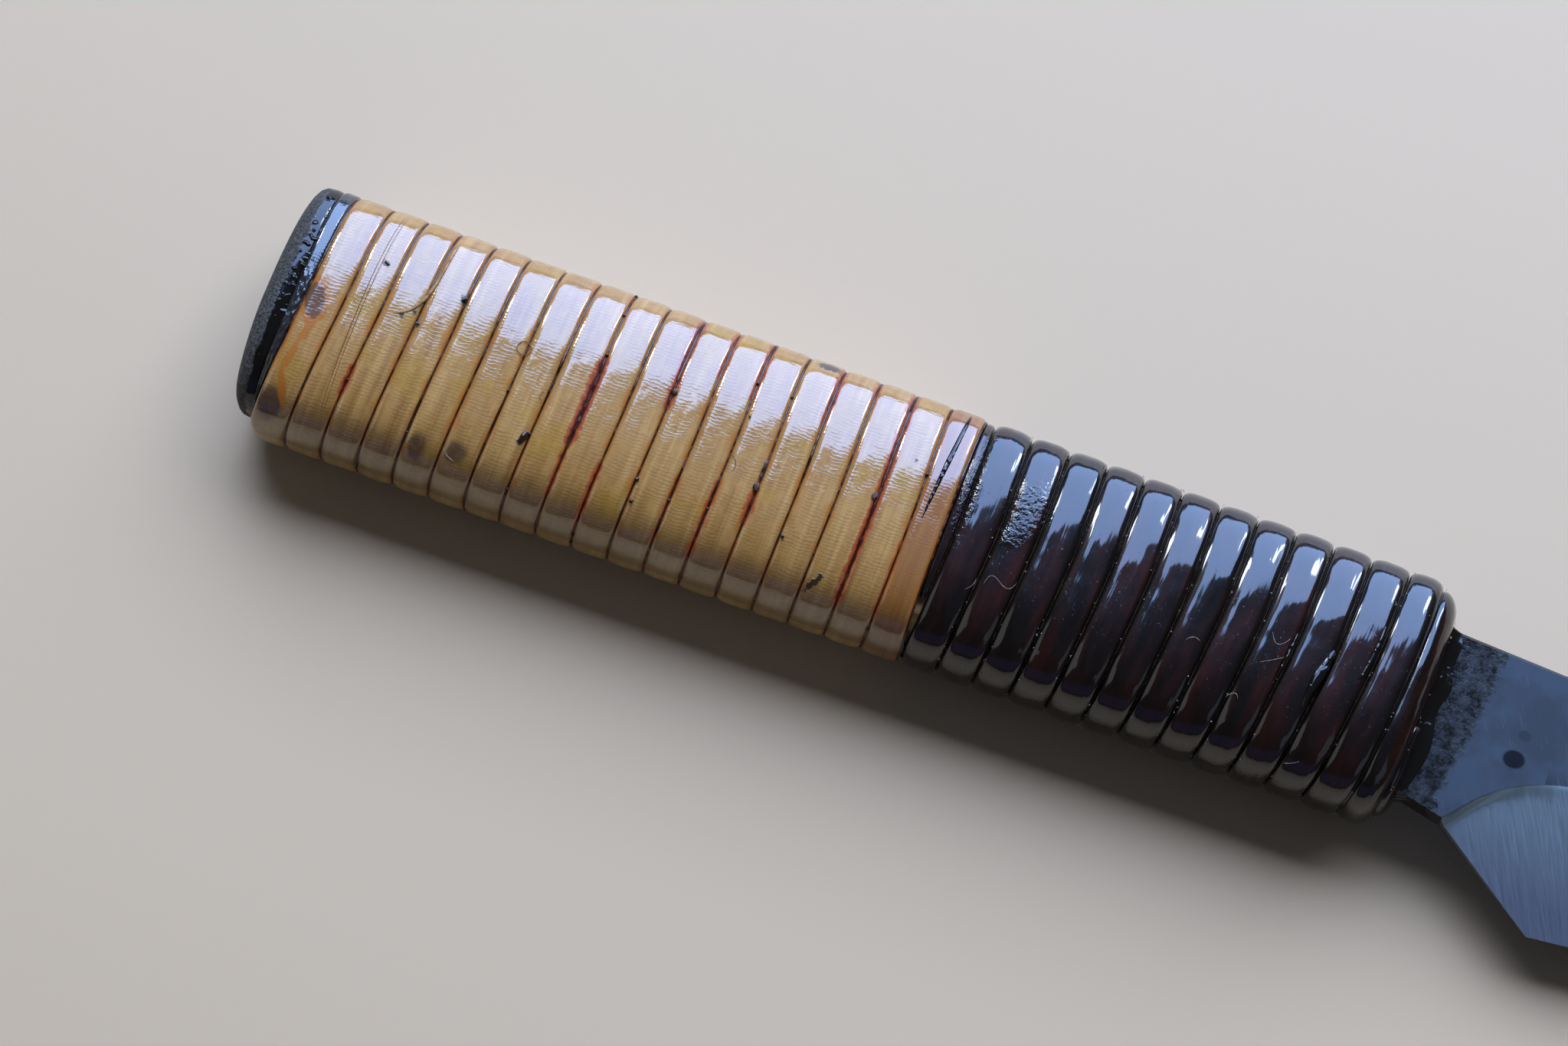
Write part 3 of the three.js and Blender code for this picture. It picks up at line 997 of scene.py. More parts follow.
    def run_tree(self, tree: bpy.types.NodeTree, name: str) -> bpy.types.Object:
        """Evaluates a node tree with the winding's values.

        Args:
            tree: the finished tree.
            name: the piece's name.

        Returns:
            The plain mesh object.
        """
        carrier = add_object(name + "_carrier", bpy.data.meshes.new(name + "_carrier"))
        modifier = carrier.modifiers.new("winding", "NODES")
        modifier.node_group = tree
        values = self.values()
        for item in tree.interface.items_tree:
            for entry, value in values.items():
                if item.in_out == "INPUT" and item.name == entry.label:
                    modifier[item.identifier] = value
        return baked(carrier, name)

    def grid(self, tree: bpy.types.NodeTree, steps: int, points: int) -> tuple[bpy.types.Node, Flow, Flow]:
        """Adds the flat grid that becomes a tube.

        Args:
            tree: the tree.
            steps: points along the tube.
            points: points round the tube.

        Returns:
            The grid node, the share along the tube and the share round it.
        """
        node = tree.nodes.new("GeometryNodeMeshGrid")
        node.inputs["Vertices X"].default_value = steps
        node.inputs["Vertices Y"].default_value = points + 1
        along, around, _ = parts_of(Flow(tree, node.outputs["UV Map"]))
        return node, along, around

    def moved(self, tree: bpy.types.NodeTree, geometry: bpy.types.NodeSocket, where: Flow,
              map_value: Flow) -> bpy.types.NodeSocket:
        """Stores a map on a grid, moves its points and joins its seam.

        Args:
            tree: the tree.
            geometry: the flat grid.
            where: the new place of each point.
            map_value: what is stored as the piece's map.

        Returns:
            The moved geometry.
        """
        store = tree.nodes.new("GeometryNodeStoreNamedAttribute")
        store.data_type = "FLOAT2"
        store.domain = "CORNER"
        store.inputs["Name"].default_value = "winding"
        tree.links.new(geometry, store.inputs["Geometry"])
        tree.links.new(map_value.socket, store.inputs["Value"])
        move = tree.nodes.new("GeometryNodeSetPosition")
        tree.links.new(store.outputs[0], move.inputs["Geometry"])
        tree.links.new(where.socket, move.inputs["Position"])
        join = tree.nodes.new("GeometryNodeMergeByDistance")
        join.inputs["Distance"].default_value = SAME_PLACE
        tree.links.new(move.outputs[0], join.inputs["Geometry"])
        return join.outputs[0]

    def strip_tree(self, material: bpy.types.Material) -> bpy.types.NodeTree:
        """Builds the tree that makes the strip.

        Args:
            material: the strip's finish.

        Returns:
            The node tree.
        """
        tree, given = self.open_tree(self.name + "_tree")
        steps = round((self.last_turn - self.first_turn) * self.steps_per_turn)
        node, along, around = self.grid(tree, steps, self.ring_points)
        turn = blend(given[WindingInput.FIRST_TURN], given[WindingInput.LAST_TURN], along)
        ring = (around - 0.25) * TURN
        ring = ring + (ring * 2.0).sin() * self.evenness
        across = ring.cos()
        lift = ring.sin()
        share = across.swell(given[WindingInput.FLATNESS]) * 0.5 + 0.5
        height = lift.swell(given[WindingInput.CROWNING]) * 0.5 + 0.5
        butt_side = self.boundary(turn - 1.0, given) + given[WindingInput.GAP]
        neck_side = (self.boundary(turn, given) - given[WindingInput.GAP]).most(butt_side + self.least_width)
        fullness = ((neck_side - butt_side) / self.full_width).least(1.0)
        place = blend(butt_side, neck_side, share)
        lumpy = noise(vector(tree, turn * 5.0, share * 1.3, given[WindingInput.SEED]), 1.0, 2.0)
        lump = (lumpy - 0.3).most(0.0) * 2.0 * given[WindingInput.LUMPS]
        height = height * (fullness * (1.0 - self.least_height) + self.least_height)
        depth = given[WindingInput.THICKNESS] * (1.0 - height) + lump + self.sunk
        where = self.surface(place, turn * -TURN, depth)
        geometry = self.moved(tree, node.outputs["Mesh"], where, vector(tree, turn, share))
        self.close_tree(tree, geometry, material)
        return tree

    def speck_tree(self, material: bpy.types.Material, specks: Specks) -> bpy.types.NodeTree:
        """Builds the tree that scatters small drops along the grooves.

        Args:
            material: the drops' finish.
            specks: their number and sizes.

        Returns:
            The node tree.
        """
        tree, given = self.open_tree(specks.name + "_tree")
        line = tree.nodes.new("GeometryNodeMeshLine")
        line.inputs["Count"].default_value = specks.count
        turn = chance(tree, specks.from_turn, self.turns - specks.short_of_end, specks.seed)
        aside = chance(tree, -specks.spread, specks.spread, specks.seed + 1)
        depth = chance(tree, specks.sunk, specks.sunk * 1.2, specks.seed + 2)
        where = self.surface(self.boundary(turn, given) + aside, turn * -TURN, depth)
        move = tree.nodes.new("GeometryNodeSetPosition")
        tree.links.new(line.outputs[0], move.inputs["Geometry"])
        tree.links.new(where.socket, move.inputs["Position"])
        drop = tree.nodes.new("GeometryNodeMeshIcoSphere")
        drop.inputs["Radius"].default_value = specks.radius
        drop.inputs["Subdivisions"].default_value = specks.roundness
        copies = tree.nodes.new("GeometryNodeInstanceOnPoints")
        tree.links.new(move.outputs[0], copies.inputs["Points"])
        tree.links.new(drop.outputs["Mesh"], copies.inputs["Instance"])
        tree.links.new(chance(tree, *specks.sizes, specks.seed + 3).socket, copies.inputs["Scale"])
        self.close_tree(tree, copies.outputs[0], material)
        return tree

    def make(self, material: bpy.types.Material) -> bpy.types.Object:
        """Builds the strip as a plain closed mesh with its map in millimetres along.

        Args:
            material: the strip's finish.

        Returns:
            The strip.
        """
        strip = self.run_tree(self.strip_tree(material), self.name)
        close_mesh(strip.data)
        self.store_turns(strip.data)
        return strip

    def store_turns(self, mesh: bpy.types.Mesh) -> None:
        """Keeps each point's turn and share across, and turns the map's turns into millimetres."""
        layer = mesh.uv_layers["winding"]
        flat = np.zeros(len(mesh.loops) * 2, np.float32)
        layer.uv.foreach_get("vector", flat)
        pairs = flat.reshape(-1, 2).astype(float)
        corner = np.zeros(len(mesh.loops), np.int32)
        mesh.loops.foreach_get("vertex_index", corner)
        self.turn_of = np.zeros(len(mesh.vertices))
        self.share_of = np.zeros(len(mesh.vertices))
        self.turn_of[corner] = pairs[:, 0]
        self.share_of[corner] = pairs[:, 1]
        angle = np.linspace(0, TURN, self.outline_points)
        outline = self.handle.point(np.full_like(angle, self.start), np.zeros_like(angle), -angle)
        length = np.concatenate([[0], np.cumsum(np.linalg.norm(np.diff(outline, axis=0), axis=1))])
        whole = np.floor(pairs[:, 0])
        part = np.interp((pairs[:, 0] - whole) * TURN, angle, length)
        pairs[:, 0] = (whole * length[-1] + part) / MM
        layer.uv.foreach_set("vector", pairs.astype(np.float32).reshape(-1))


@dataclass(frozen=True)
class Bleed:
    """Red lacquer that seeped out of one groove, between two places across the handle's front."""

    groove: int
    from_y: float
    to_y: float
    strength: float


@dataclass(frozen=True)
class Patch:
    """A soft oval mark on the front of the handle, in millimetres from its neck end and centre line."""

    x: float
    y: float
    long: float
    wide: float
    strength: float
    turned: float = 0.0


def patches(points: np.ndarray, marks: Sequence[Patch], handle: HandleShape) -> np.ndarray:
    """Adds up soft oval marks on the handle's front.

    Args:
        points: the mesh's points.
        marks: the marks.
        handle: the handle's shape.

    Returns:
        One number for each point.
    """
    x = (points[:, 0] - handle.neck_x) / MM
    y = (points[:, 1] - handle.centre_y) / MM
    front = smooth_step(points[:, 2], handle.middle_z - FRONT_FROM, handle.middle_z + FRONT_FULL)
    total = np.zeros(len(points))
    for mark in marks:
        cosine, sine = math.cos(mark.turned), math.sin(mark.turned)
        u = ((x - mark.x) * cosine + (y - mark.y) * sine) / (mark.long / 2)
        v = ((y - mark.y) * cosine - (x - mark.x) * sine) / (mark.wide / 2)
        total = np.maximum(total, mark.strength * smooth_step(-np.hypot(u, v), -MARK_EDGE, -MARK_CORE))
    return total * front


@dataclass
class NaturalWinding(Winding):
    """The natural cane with the marks that the lacquer and the plant left on it."""

    bleeds: tuple[Bleed, ...] = (
        Bleed(2, -9.5, -5.5, 0.55),
        Bleed(8, -6.5, 4.5, 1.0),
        Bleed(8, -12.0, -6.5, 0.4),
        Bleed(9, -13.5, -6.5, 0.5),
        Bleed(10, 1.0, 13.0, 0.75),
        Bleed(11, -13.0, -5.0, 0.3),
        Bleed(11, 6.0, 13.5, 0.5),
        Bleed(12, 5.0, 13.5, 0.5),
        Bleed(12, -13.0, -4.0, 0.45),
        Bleed(13, -8.0, -4.0, 0.7),
        Bleed(14, 5.0, 13.8, 0.6),
        Bleed(15, 9.0, 13.8, 0.4),
        Bleed(16, -12.5, 13.8, 0.72),
        Bleed(17, -13.0, -3.0, 0.28),
    )
    dark_patches: tuple[Patch, ...] = (
        Patch(-108.9, -11.4, 2.6, 3.6, 0.85),
        Patch(-104.7, -10.6, 3.2, 2.6, 0.85),
        Patch(-125.3, -12.0, 4.0, 4.0, 0.9),
        Patch(-117.5, -12.0, 3.0, 3.4, 0.5),
        Patch(-113.3, -12.0, 3.0, 3.0, 0.5),
        Patch(-97.0, 3.0, 2.0, 9.0, 0.35, -0.5),
        Patch(-96.4, -11.4, 2.6, 2.8, 0.45),
    )
    runs: tuple[Patch, ...] = (
        Patch(-124.7, -0.4, 2.9, 5.4, 1.0, 0.25),
        Patch(-126.3, -4.5, 1.1, 9.0, 0.75),
        Patch(-124.2, -3.6, 1.0, 5.0, 0.55, -0.28),
        Patch(-124.9, -7.0, 1.0, 4.2, 0.55, -0.23),
        Patch(-124.6, -10.2, 0.95, 4.8, 0.55, 0.41),
    )
    scars: tuple[Patch, ...] = (
        Patch(-71.2, 12.4, 3.4, 1.6, 0.75),
        Patch(-64.4, -10.8, 3.6, 0.75, 1.0, 0.9),
        Patch(-98.4, -6.9, 1.0, 2.2, 1.0, -0.5),
        Patch(-109.9, 5.3, 0.9, 0.9, 1.0),
        Patch(-119.2, 6.2, 1.2, 0.5, 0.8),
        Patch(-115.0, 1.6, 2.9, 0.42, 1.0, 0.55),
        Patch(-71.4, 2.2, 0.5, 0.5, 0.7),
        Patch(-58.8, 5.0, 0.5, 0.5, 0.6),
        Patch(-56.2, 0.2, 0.4, 0.4, 0.6),
    )
    tar_turn: float = 0.03
    # strength and reach, in millimetres across, of the painted shade towards the low side
    low_side_shade: float = 0.5
    low_side: tuple[float, float] = (-12.4, -8.4)
    bleed_rise: tuple[float, float] = (-0.6, 1.2)
    bleed_fall: tuple[float, float] = (-0.6, 0.5)
    beads_below: tuple[float, float] = (1.0, 4.0)
    aged_from: float = 1.15
    aged_full: float = 0.95
    lacquer_radius: tuple[float, float] = (0.12 * MM, 0.22 * MM)
    lacquer_depth: tuple[float, float] = (0.5 * MM, 0.2 * MM)
    lacquer_points: int = 8

    def dress(self, strip: bpy.types.Object) -> None:
        """Paints the seeped lacquer, the painted shade towards the low side, dark patches, runs and scars
        onto the strip.
        """
        points = points_of(strip.data)
        y = (points[:, 1] - self.handle.centre_y) / MM
        groove = np.where(self.share_of > 0.5, self.turn_of, self.turn_of - 1)
        on_front = points[:, 2] > self.handle.middle_z - 1 * MM
        number = np.ceil(groove - 0.02)
        bleed = np.zeros(len(points))
        for seep in self.bleeds:
            rise = smooth_step(y, seep.from_y + self.bleed_rise[0], seep.from_y + self.bleed_rise[1])
            fall = 1 - smooth_step(y, seep.to_y + self.bleed_fall[0], seep.to_y + self.bleed_fall[1])
            hit = (number == seep.groove) & on_front
            bleed = np.maximum(bleed, np.where(hit, rise * fall * seep.strength, 0))
        paint(strip.data, "bleed", bleed)
        # painted shade: the front darkens towards its low side, the side that faces away from the lights
        upper_half = points[:, 2] > self.handle.middle_z
        low_side = self.low_side_shade * (1 - smooth_step(y, *self.low_side)) * upper_half
        marks = patches(points, self.dark_patches, self.handle)
        paint(strip.data, "shade", np.maximum(low_side, marks))
        paint(strip.data, "run", patches(points, self.runs, self.handle))
        tar = 1 - smooth_step(self.turn_of, self.tar_turn, self.tar_turn + 0.08)
        paint(strip.data, "tar", tar)
        aged = smooth_step(self.turn_of, self.turns - self.aged_from, self.turns - self.aged_full)
        paint(strip.data, "aged", aged)
        paint(strip.data, "beaded", tar * (1 - smooth_step(y, *self.beads_below)) * on_front)
        paint(strip.data, "scar", patches(points, self.scars, self.handle))

    def groove_tree(self, material: bpy.types.Material) -> bpy.types.NodeTree:
        """Builds the tree that fills the grooves with lacquer.

        Args:
            material: the lacquer's finish.

        Returns:
            The node tree.
        """
        tree, given = self.open_tree("groove_lacquer_tree")
        steps = self.turns * self.steps_per_turn
        node, along, around = self.grid(tree, steps, self.lacquer_points)
        turn = blend(-0.3, given[WindingInput.TURNS] - 0.02, along)
        ring = around * TURN
        swelling = noise(vector(tree, turn * 7.0, given[WindingInput.SEED]), 1.0, 3.0, 0.6)
        radius = swelling.ramp(0.45, 0.75, *self.lacquer_radius)
        place = self.boundary(turn, given) + ring.cos() * radius
        sunk = swelling.ramp(0.45, 0.8, *self.lacquer_depth)
        where = self.surface(place, turn * -TURN, sunk - ring.sin() * radius)
        geometry = self.moved(tree, node.outputs["Mesh"], where, vector(tree, turn, around))
        self.close_tree(tree, geometry, material)
        return tree


@dataclass
class BlackWinding(Winding):
    """The black-lacquered cane, with the patches where the lacquer bubbled."""

    bubbled: tuple[Patch, ...] = (
        Patch(-46.0, 3.6, 4.4, 8.0, 1.0),
        Patch(-46.9, 0.6, 2.4, 2.6, 1.0),
        Patch(-52.4, 5.0, 1.8, 16.0, 0.8),
    )

    def dress(self, strip: bpy.types.Object) -> None:
        """Paints where the lacquer bubbled."""
        points = points_of(strip.data)
        paint(strip.data, "bubbled", patches(points, self.bubbled, self.handle))


# ---------------------------------------------------------------------------------------------------
# Small things on the lacquer
# ---------------------------------------------------------------------------------------------------


@dataclass(frozen=True)
class Trace:
    """A thin thread, drop or sliver that lies on the handle's front, with its sizes in millimetres."""

    path: Path
    thickness: tuple[float, float, float]
    lift: float = 0.0
    squash: float = 1.0
    steps: int = 24
    sides: int = 8

    def centre_line(self, handle: HandleShape) -> np.ndarray:
        """Returns points on the handle's front along the trace's path."""
        marks = np.array(self.path)
        share = np.linspace(0, 1, self.steps)
        if len(marks) > 2:
            knots = np.linspace(0, 1, len(marks))
            order = min(3, len(marks) - 1)
            x = np.polyval(np.polyfit(knots, marks[:, 0], order), share)
            y = np.polyval(np.polyfit(knots, marks[:, 1], order), share)
        else:
            x, y = (marks[0] + share[:, None] * (marks[1] - marks[0])).T
        x, y = x * MM + handle.neck_x, y * MM
        inset = STRIP_SUNK - self.lift * MM
        spread = np.abs(y) / (handle.half_width(x) - inset)
        rise = (1 - spread**handle.squareness) ** (1 / handle.squareness)
        z = handle.middle_z + (handle.half_thickness - inset) * rise
        return np.stack([x, y + handle.centre_y, z], axis=-1)

    def skin(self, handle: HandleShape) -> np.ndarray:
        """Returns the rings of points that make the trace's skin."""
        line = self.centre_line(handle)
        along = np.gradient(line, axis=0)
        along /= np.linalg.norm(along, axis=1)[:, None]
        out = np.array([0.0, 0.0, 1.0]) + 0 * line
        out[:, 1] = (line[:, 1] - handle.centre_y) / handle.half_thickness * 0.5
        side = np.cross(along, out)
        side /= np.linalg.norm(side, axis=1)[:, None]
        out = np.cross(side, along)
        share = np.linspace(0, 1, self.steps)
        radius = np.interp(share, [0, 0.5, 1], self.thickness) / 2 * MM
        radius *= np.sqrt(np.clip(1 - (2 * share - 1) ** 8, 0.01, 1))
        turn = np.linspace(0, TURN, self.sides, endpoint=False)
        sideways = np.cos(turn)[None, :, None] * side[:, None]
        outwards = np.sin(turn)[None, :, None] * out[:, None] * self.squash
        rows = line[:, None] + (sideways + outwards) * radius[:, None, None]
        highest = handle.middle_z + handle.half_thickness - BELOW_TOP
        rows[..., 2] = np.minimum(rows[..., 2], highest)
        return rows


@dataclass
class SmallThings:
    """One kind of small thing, made as one piece out of several traces."""

    name: str
    traces: tuple[Trace, ...]

    def make(self, handle: HandleShape, material: bpy.types.Material) -> bpy.types.Object:
        """Builds all traces as one piece.

        Args:
            handle: the handle that they lie on.
            material: their finish.

        Returns:
            The piece.
        """
        return ring_piece(self.name, [trace.skin(handle) for trace in self.traces], material)


def ring_path(x: float, y: float, radius: float, start: float, sweep: float) -> Path:
    """Makes a short curved path round a centre.

    Args:
        x: the centre's place along the handle.
        y: the centre's place across it.
        radius: the curve's radius.
        start: the angle that the path starts at.
        sweep: the angle that it covers.

    Returns:
        Four places on the curve.
    """
    angles = [start + sweep * step / 3 for step in range(4)]
    return tuple((x + radius * math.cos(angle), y + radius * math.sin(angle)) for angle in angles)


DROPS = (
    Trace(((-110.1, 5.0), (-109.6, 5.5)), (0.45, 0.6, 0.4), 0.1, 0.7),
    Trace(((-113.7, 0.8), (-113.3, 1.1)), (0.3, 0.45, 0.3), 0.1, 0.8),
    Trace(((-85.7, -7.3), (-85.5, -6.9)), (0.35, 0.5, 0.3), 0.05, 0.8),
    Trace(((-85.5, -9.6), (-85.3, -9.2)), (0.3, 0.48, 0.3), 0.05, 0.8),
    Trace(((-85.3, 3.6), (-85.2, 2.9)), (0.4, 0.6, 0.35), 0.05, 0.8),
    Trace(((-73.6, -3.2), (-73.5, -4.1)), (0.5, 0.75, 0.45), 0.1, 0.8),
    Trace(((-73.45, -0.4), (-73.5, -2.9)), (0.2, 0.36, 0.2), 0.12, 0.8),
    Trace(((-69.3, -7.8), (-69.0, -7.5)), (0.35, 0.5, 0.3), 0.1, 0.8),
    Trace(((-61.7, -0.6), (-61.5, 0.2)), (0.4, 0.62, 0.35), 0.1, 0.8),
    Trace(((-98.7, -7.6), (-98.2, -6.1)), (0.4, 0.7, 0.2), 0.08, 0.6),
    Trace(((-119.4, 6.4), (-118.8, 6.1)), (0.35, 0.3, 0.2), 0.05, 0.6),
    Trace(((-77.0, 3.4), (-76.8, 3.5)), (0.2, 0.28, 0.2), 0.05, 0.7),
)
RING_THREAD = (0.09, 0.11, 0.09)
FINE_THREAD = (0.05, 0.07, 0.05)
BUBBLE_RINGS = (
    Trace(ring_path(-101.9, 2.3, 0.75, 0.0, 2.2), RING_THREAD, 0.06),
    Trace(ring_path(-101.9, 2.3, 0.75, 2.1, 2.2), RING_THREAD, 0.06),
    Trace(ring_path(-101.9, 2.3, 0.75, 4.2, 2.1), RING_THREAD, 0.06),
    Trace(
        ((-119.75, 12.6), (-120.05, 4.0), (-120.0, -4.0), (-119.7, -12.6)),
        (0.06, 0.09, 0.05), 0.0, 0.6, 60,
    ),
    Trace(
        ((-119.4, 12.6), (-119.7, 4.0), (-119.65, -4.0), (-119.4, -12.6)),
        (0.04, 0.07, 0.04), 0.0, 0.6, 60,
    ),
    Trace(ring_path(-77.6, -2.3, 1.2, -0.6, 2.2), FINE_THREAD, 0.03),
    Trace(ring_path(-97.8, -2.0, 0.6, 2.0, 2.6), FINE_THREAD, 0.03),
)
CANE_SLIVERS = (
    Trace(
        ((-112.9, 11.4), (-113.15, 8.2), (-113.4, 5.4), (-113.9, 3.4), (-114.9, 2.2), (-116.3, 1.1)),
        (0.16, 0.42, 0.14), 0.02, 0.5, 40,
    ),
)
LACQUER_RUNS = (
    Trace(((-11.3, 0.6), (-11.7, -1.6), (-12.2, -4.0), (-12.5, -6.6)), (0.45, 1.25, 0.3), -0.05, 0.55),
    Trace(((-7.1, 5.0), (-7.3, 1.5), (-7.9, -1.5)), (0.2, 0.45, 0.3), 0.0, 0.7),
    Trace(((-15.4, 1.0), (-15.7, -2.2), (-16.1, -4.6)), (0.2, 0.4, 0.2), 0.0, 0.7),
    Trace(((-55.3, 13.2), (-55.5, 8.5), (-55.9, 3.0), (-56.3, -4.0)), (0.5, 0.7, 0.2), -0.12, 0.6, 40),
)
LINT_LIFT = 0.06
LINT_SIDES = 5


def lint(path: Path, thickness: tuple[float, float, float], steps: int = 16) -> Trace:
    """Returns a fine round fibre along a path."""
    return Trace(path, thickness, LINT_LIFT, 1.0, steps, LINT_SIDES)


LINT = (
    lint(((-47.7, -5.4), (-46.9, -4.2), (-45.6, -4.9), (-44.5, -4.0)), (0.05, 0.07, 0.04), 24),
    lint(((-17.9, 0.2), (-17.0, -0.9), (-15.9, 0.2)), (0.04, 0.06, 0.04)),
    lint(((-18.2, -3.4), (-17.0, -2.7), (-15.9, -2.0)), (0.04, 0.06, 0.04)),
    lint(((-26.1, -3.8), (-25.4, -3.2), (-24.6, -3.4)), FINE_THREAD),
    lint(((-20.3, -8.0), (-19.5, -7.3), (-19.0, -7.8)), FINE_THREAD),
    lint(((-12.4, -12.0), (-11.6, -11.8), (-10.9, -11.4)), (0.04, 0.06, 0.04)),
    lint(((-106.0, -10.7), (-105.5, -11.2), (-104.6, -11.5)), (0.05, 0.08, 0.05)),
    lint(((-49.4, -6.5), (-48.8, -5.9), (-48.6, -5.0)), (0.04, 0.06, 0.04)),
)


# ---------------------------------------------------------------------------------------------------
# Ends of the handle
# ---------------------------------------------------------------------------------------------------


@dataclass
class ButtCap:
    """The domed, lacquered end of the handle."""

    handle: HandleShape
    bow: float = 0.6 * MM
    face_inset: float = 0.75 * MM
    rim_inset: float = 0.2 * MM
    low_side_inset: float = 1.7 * MM
    low_side_until: float = 7.5
    points_round: int = 160
    skirt: Path = ((0.9, 0.5), (0.5, 0.42), (0.27, 0.2), (0.14, -0.25), (0.1, -0.6), (0.12, -1.1))
    easing: Path = ((0.24, 1.15), (0.5, 0.7), (0.9, 0.4), (1.4, 0.18), (2.0, 0.07), (2.8, 0.02))
    face_rings: tuple[float, ...] = (3.8, 4.8, 5.9, 7.0)

    def profile(self, low_x: float, high_x: float) -> list[tuple[float, float]]:
        """Lists the cap's rings from its skirt over the rim to the face.

        Args:
            low_x: where the cap starts.
            high_x: where the cane starts.

        Returns:
            Each ring's inset in millimetres and its place along the handle in metres.
        """
        face = low_x + self.face_inset
        rings = [(inset, high_x + past * MM) for inset, past in self.skirt]
        rings += [(inset, face + back * MM) for inset, back in self.easing]
        rings += [(inset, face) for inset in self.face_rings]
        return rings

    def make(self, material: bpy.types.Material) -> bpy.types.Object:
        """Builds the cap with its skirt over the first turn, its eased rim and its bowed face.

        Args:
            material: the cap's finish.

        Returns:
            The cap.
        """
        low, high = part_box("butt_cap")
        angle = np.linspace(0, TURN, self.points_round, endpoint=False)
        low_side = smooth_step(-np.cos(angle), 0.1, 0.95) * self.low_side_inset
        rows = []
        for inset_mm, x in self.profile(low.x, high.x):
            nearness = smooth_step(self.low_side_until - inset_mm, 0.0, 5.0)
            inset = inset_mm * MM + self.rim_inset / 2 + low_side * nearness
            ring = self.handle.point(np.full_like(angle, x), inset, angle)
            side = np.clip((high.x - x) / (high.x - low.x), 0, 1)
            spread = (ring[:, 1] - self.handle.centre_y) / self.handle.half_width_at_butt
            ring[:, 0] += self.bow * spread**2 * side
            rows.append(ring)
        return ring_piece("butt_end", [np.array(rows)], material)


@dataclass
class Shoulder:
    """The lacquered front end of the handle, under the last turns of cane."""

    handle: HandleShape
    radius: float = 4.2 * MM
    depth: float = 0.6 * MM
    overlap: float = 1.4 * MM
    face_inset: float = 0.7 * MM
    face_middle: float = 1.0 * MM
    points_round: int = 160
    bends: int = 9

    def make(self, material: bpy.types.Material) -> bpy.types.Object:
        """Builds the rounded end.

        Args:
            material: the lacquer.

        Returns:
            The shoulder.
        """
        angle = np.linspace(0, TURN, self.points_round, endpoint=False)
        start = self.handle.neck_x - self.radius
        reach = self.radius - self.depth
        rings = [(x, self.depth) for x in np.linspace(start - self.overlap, start, 4)]
        for bend in np.linspace(0, math.pi / 2, self.bends)[1:]:
            rings.append((start + math.sin(bend) * reach, self.radius - math.cos(bend) * reach))
        face = self.handle.neck_x - self.depth
        deepest = self.handle.half_thickness - self.face_middle
        rings += [(face, inset) for inset in np.linspace(self.radius + self.face_inset, deepest, 5)]
        rows = [
            self.handle.point(np.full_like(angle, x), np.full_like(angle, inset), angle)
            for x, inset in rings
        ]
        return ring_piece("shoulder_lacquer", [np.array(rows)], material)


@dataclass
class NeckLap:
    """The bead of lacquer that climbs from the shoulder onto the neck all round it."""

    handle: HandleShape
    low_y: float
    high_y: float
    back_z: float
    face_z: float
    reach: float = 2.6 * MM
    height: float = 0.55 * MM
    tucked: float = 0.7 * MM
    sunk_edge: float = 0.06 * MM
    squareness: int = 8
    waves: int = 9
    seed: int = 5
    points_round: int = 120
    rings: int = 12

    def make(self, material: bpy.types.Material) -> bpy.types.Object:
        """Builds the bead.

        Args:
            material: the lacquer.

        Returns:
            The bead.
        """
        draw = np.random.default_rng(self.seed)
        waves = [
            (draw.integers(2, 15), draw.uniform(0, TURN), draw.uniform(0.3, 1.0))
            for _ in range(self.waves)
        ]
        angle = np.linspace(0, TURN, self.points_round, endpoint=False)
        uneven = sum(size * np.cos(count * angle + turn) for count, turn, size in waves) / 4
        half_width = (self.high_y - self.low_y) / 2
        half_height = (self.face_z - self.back_z) / 2
        centre_y = (self.high_y + self.low_y) / 2
        centre_z = (self.face_z + self.back_z) / 2
        cosine, sine = np.cos(angle), np.sin(angle)
        power = self.squareness
        reach = (np.abs(cosine) ** power + np.abs(sine) ** power) ** (-1 / power)
        rows = []
        for share in np.linspace(0, 1, self.rings):
            thick = self.height * (1 - share) ** 1.7 * (1 + 0.25 * uneven) - self.sunk_edge * share
            x = self.handle.neck_x - self.tucked + share * self.reach * (1 + 0.2 * uneven)
            y = centre_y + (half_width + thick) * cosine * reach
            z = centre_z + (half_height + thick) * sine * reach
            rows.append(np.stack([x, y, z], axis=-1))
        return ring_piece("neck_lacquer", [np.array(rows)], material)


# ---------------------------------------------------------------------------------------------------
# Blade
# ---------------------------------------------------------------------------------------------------


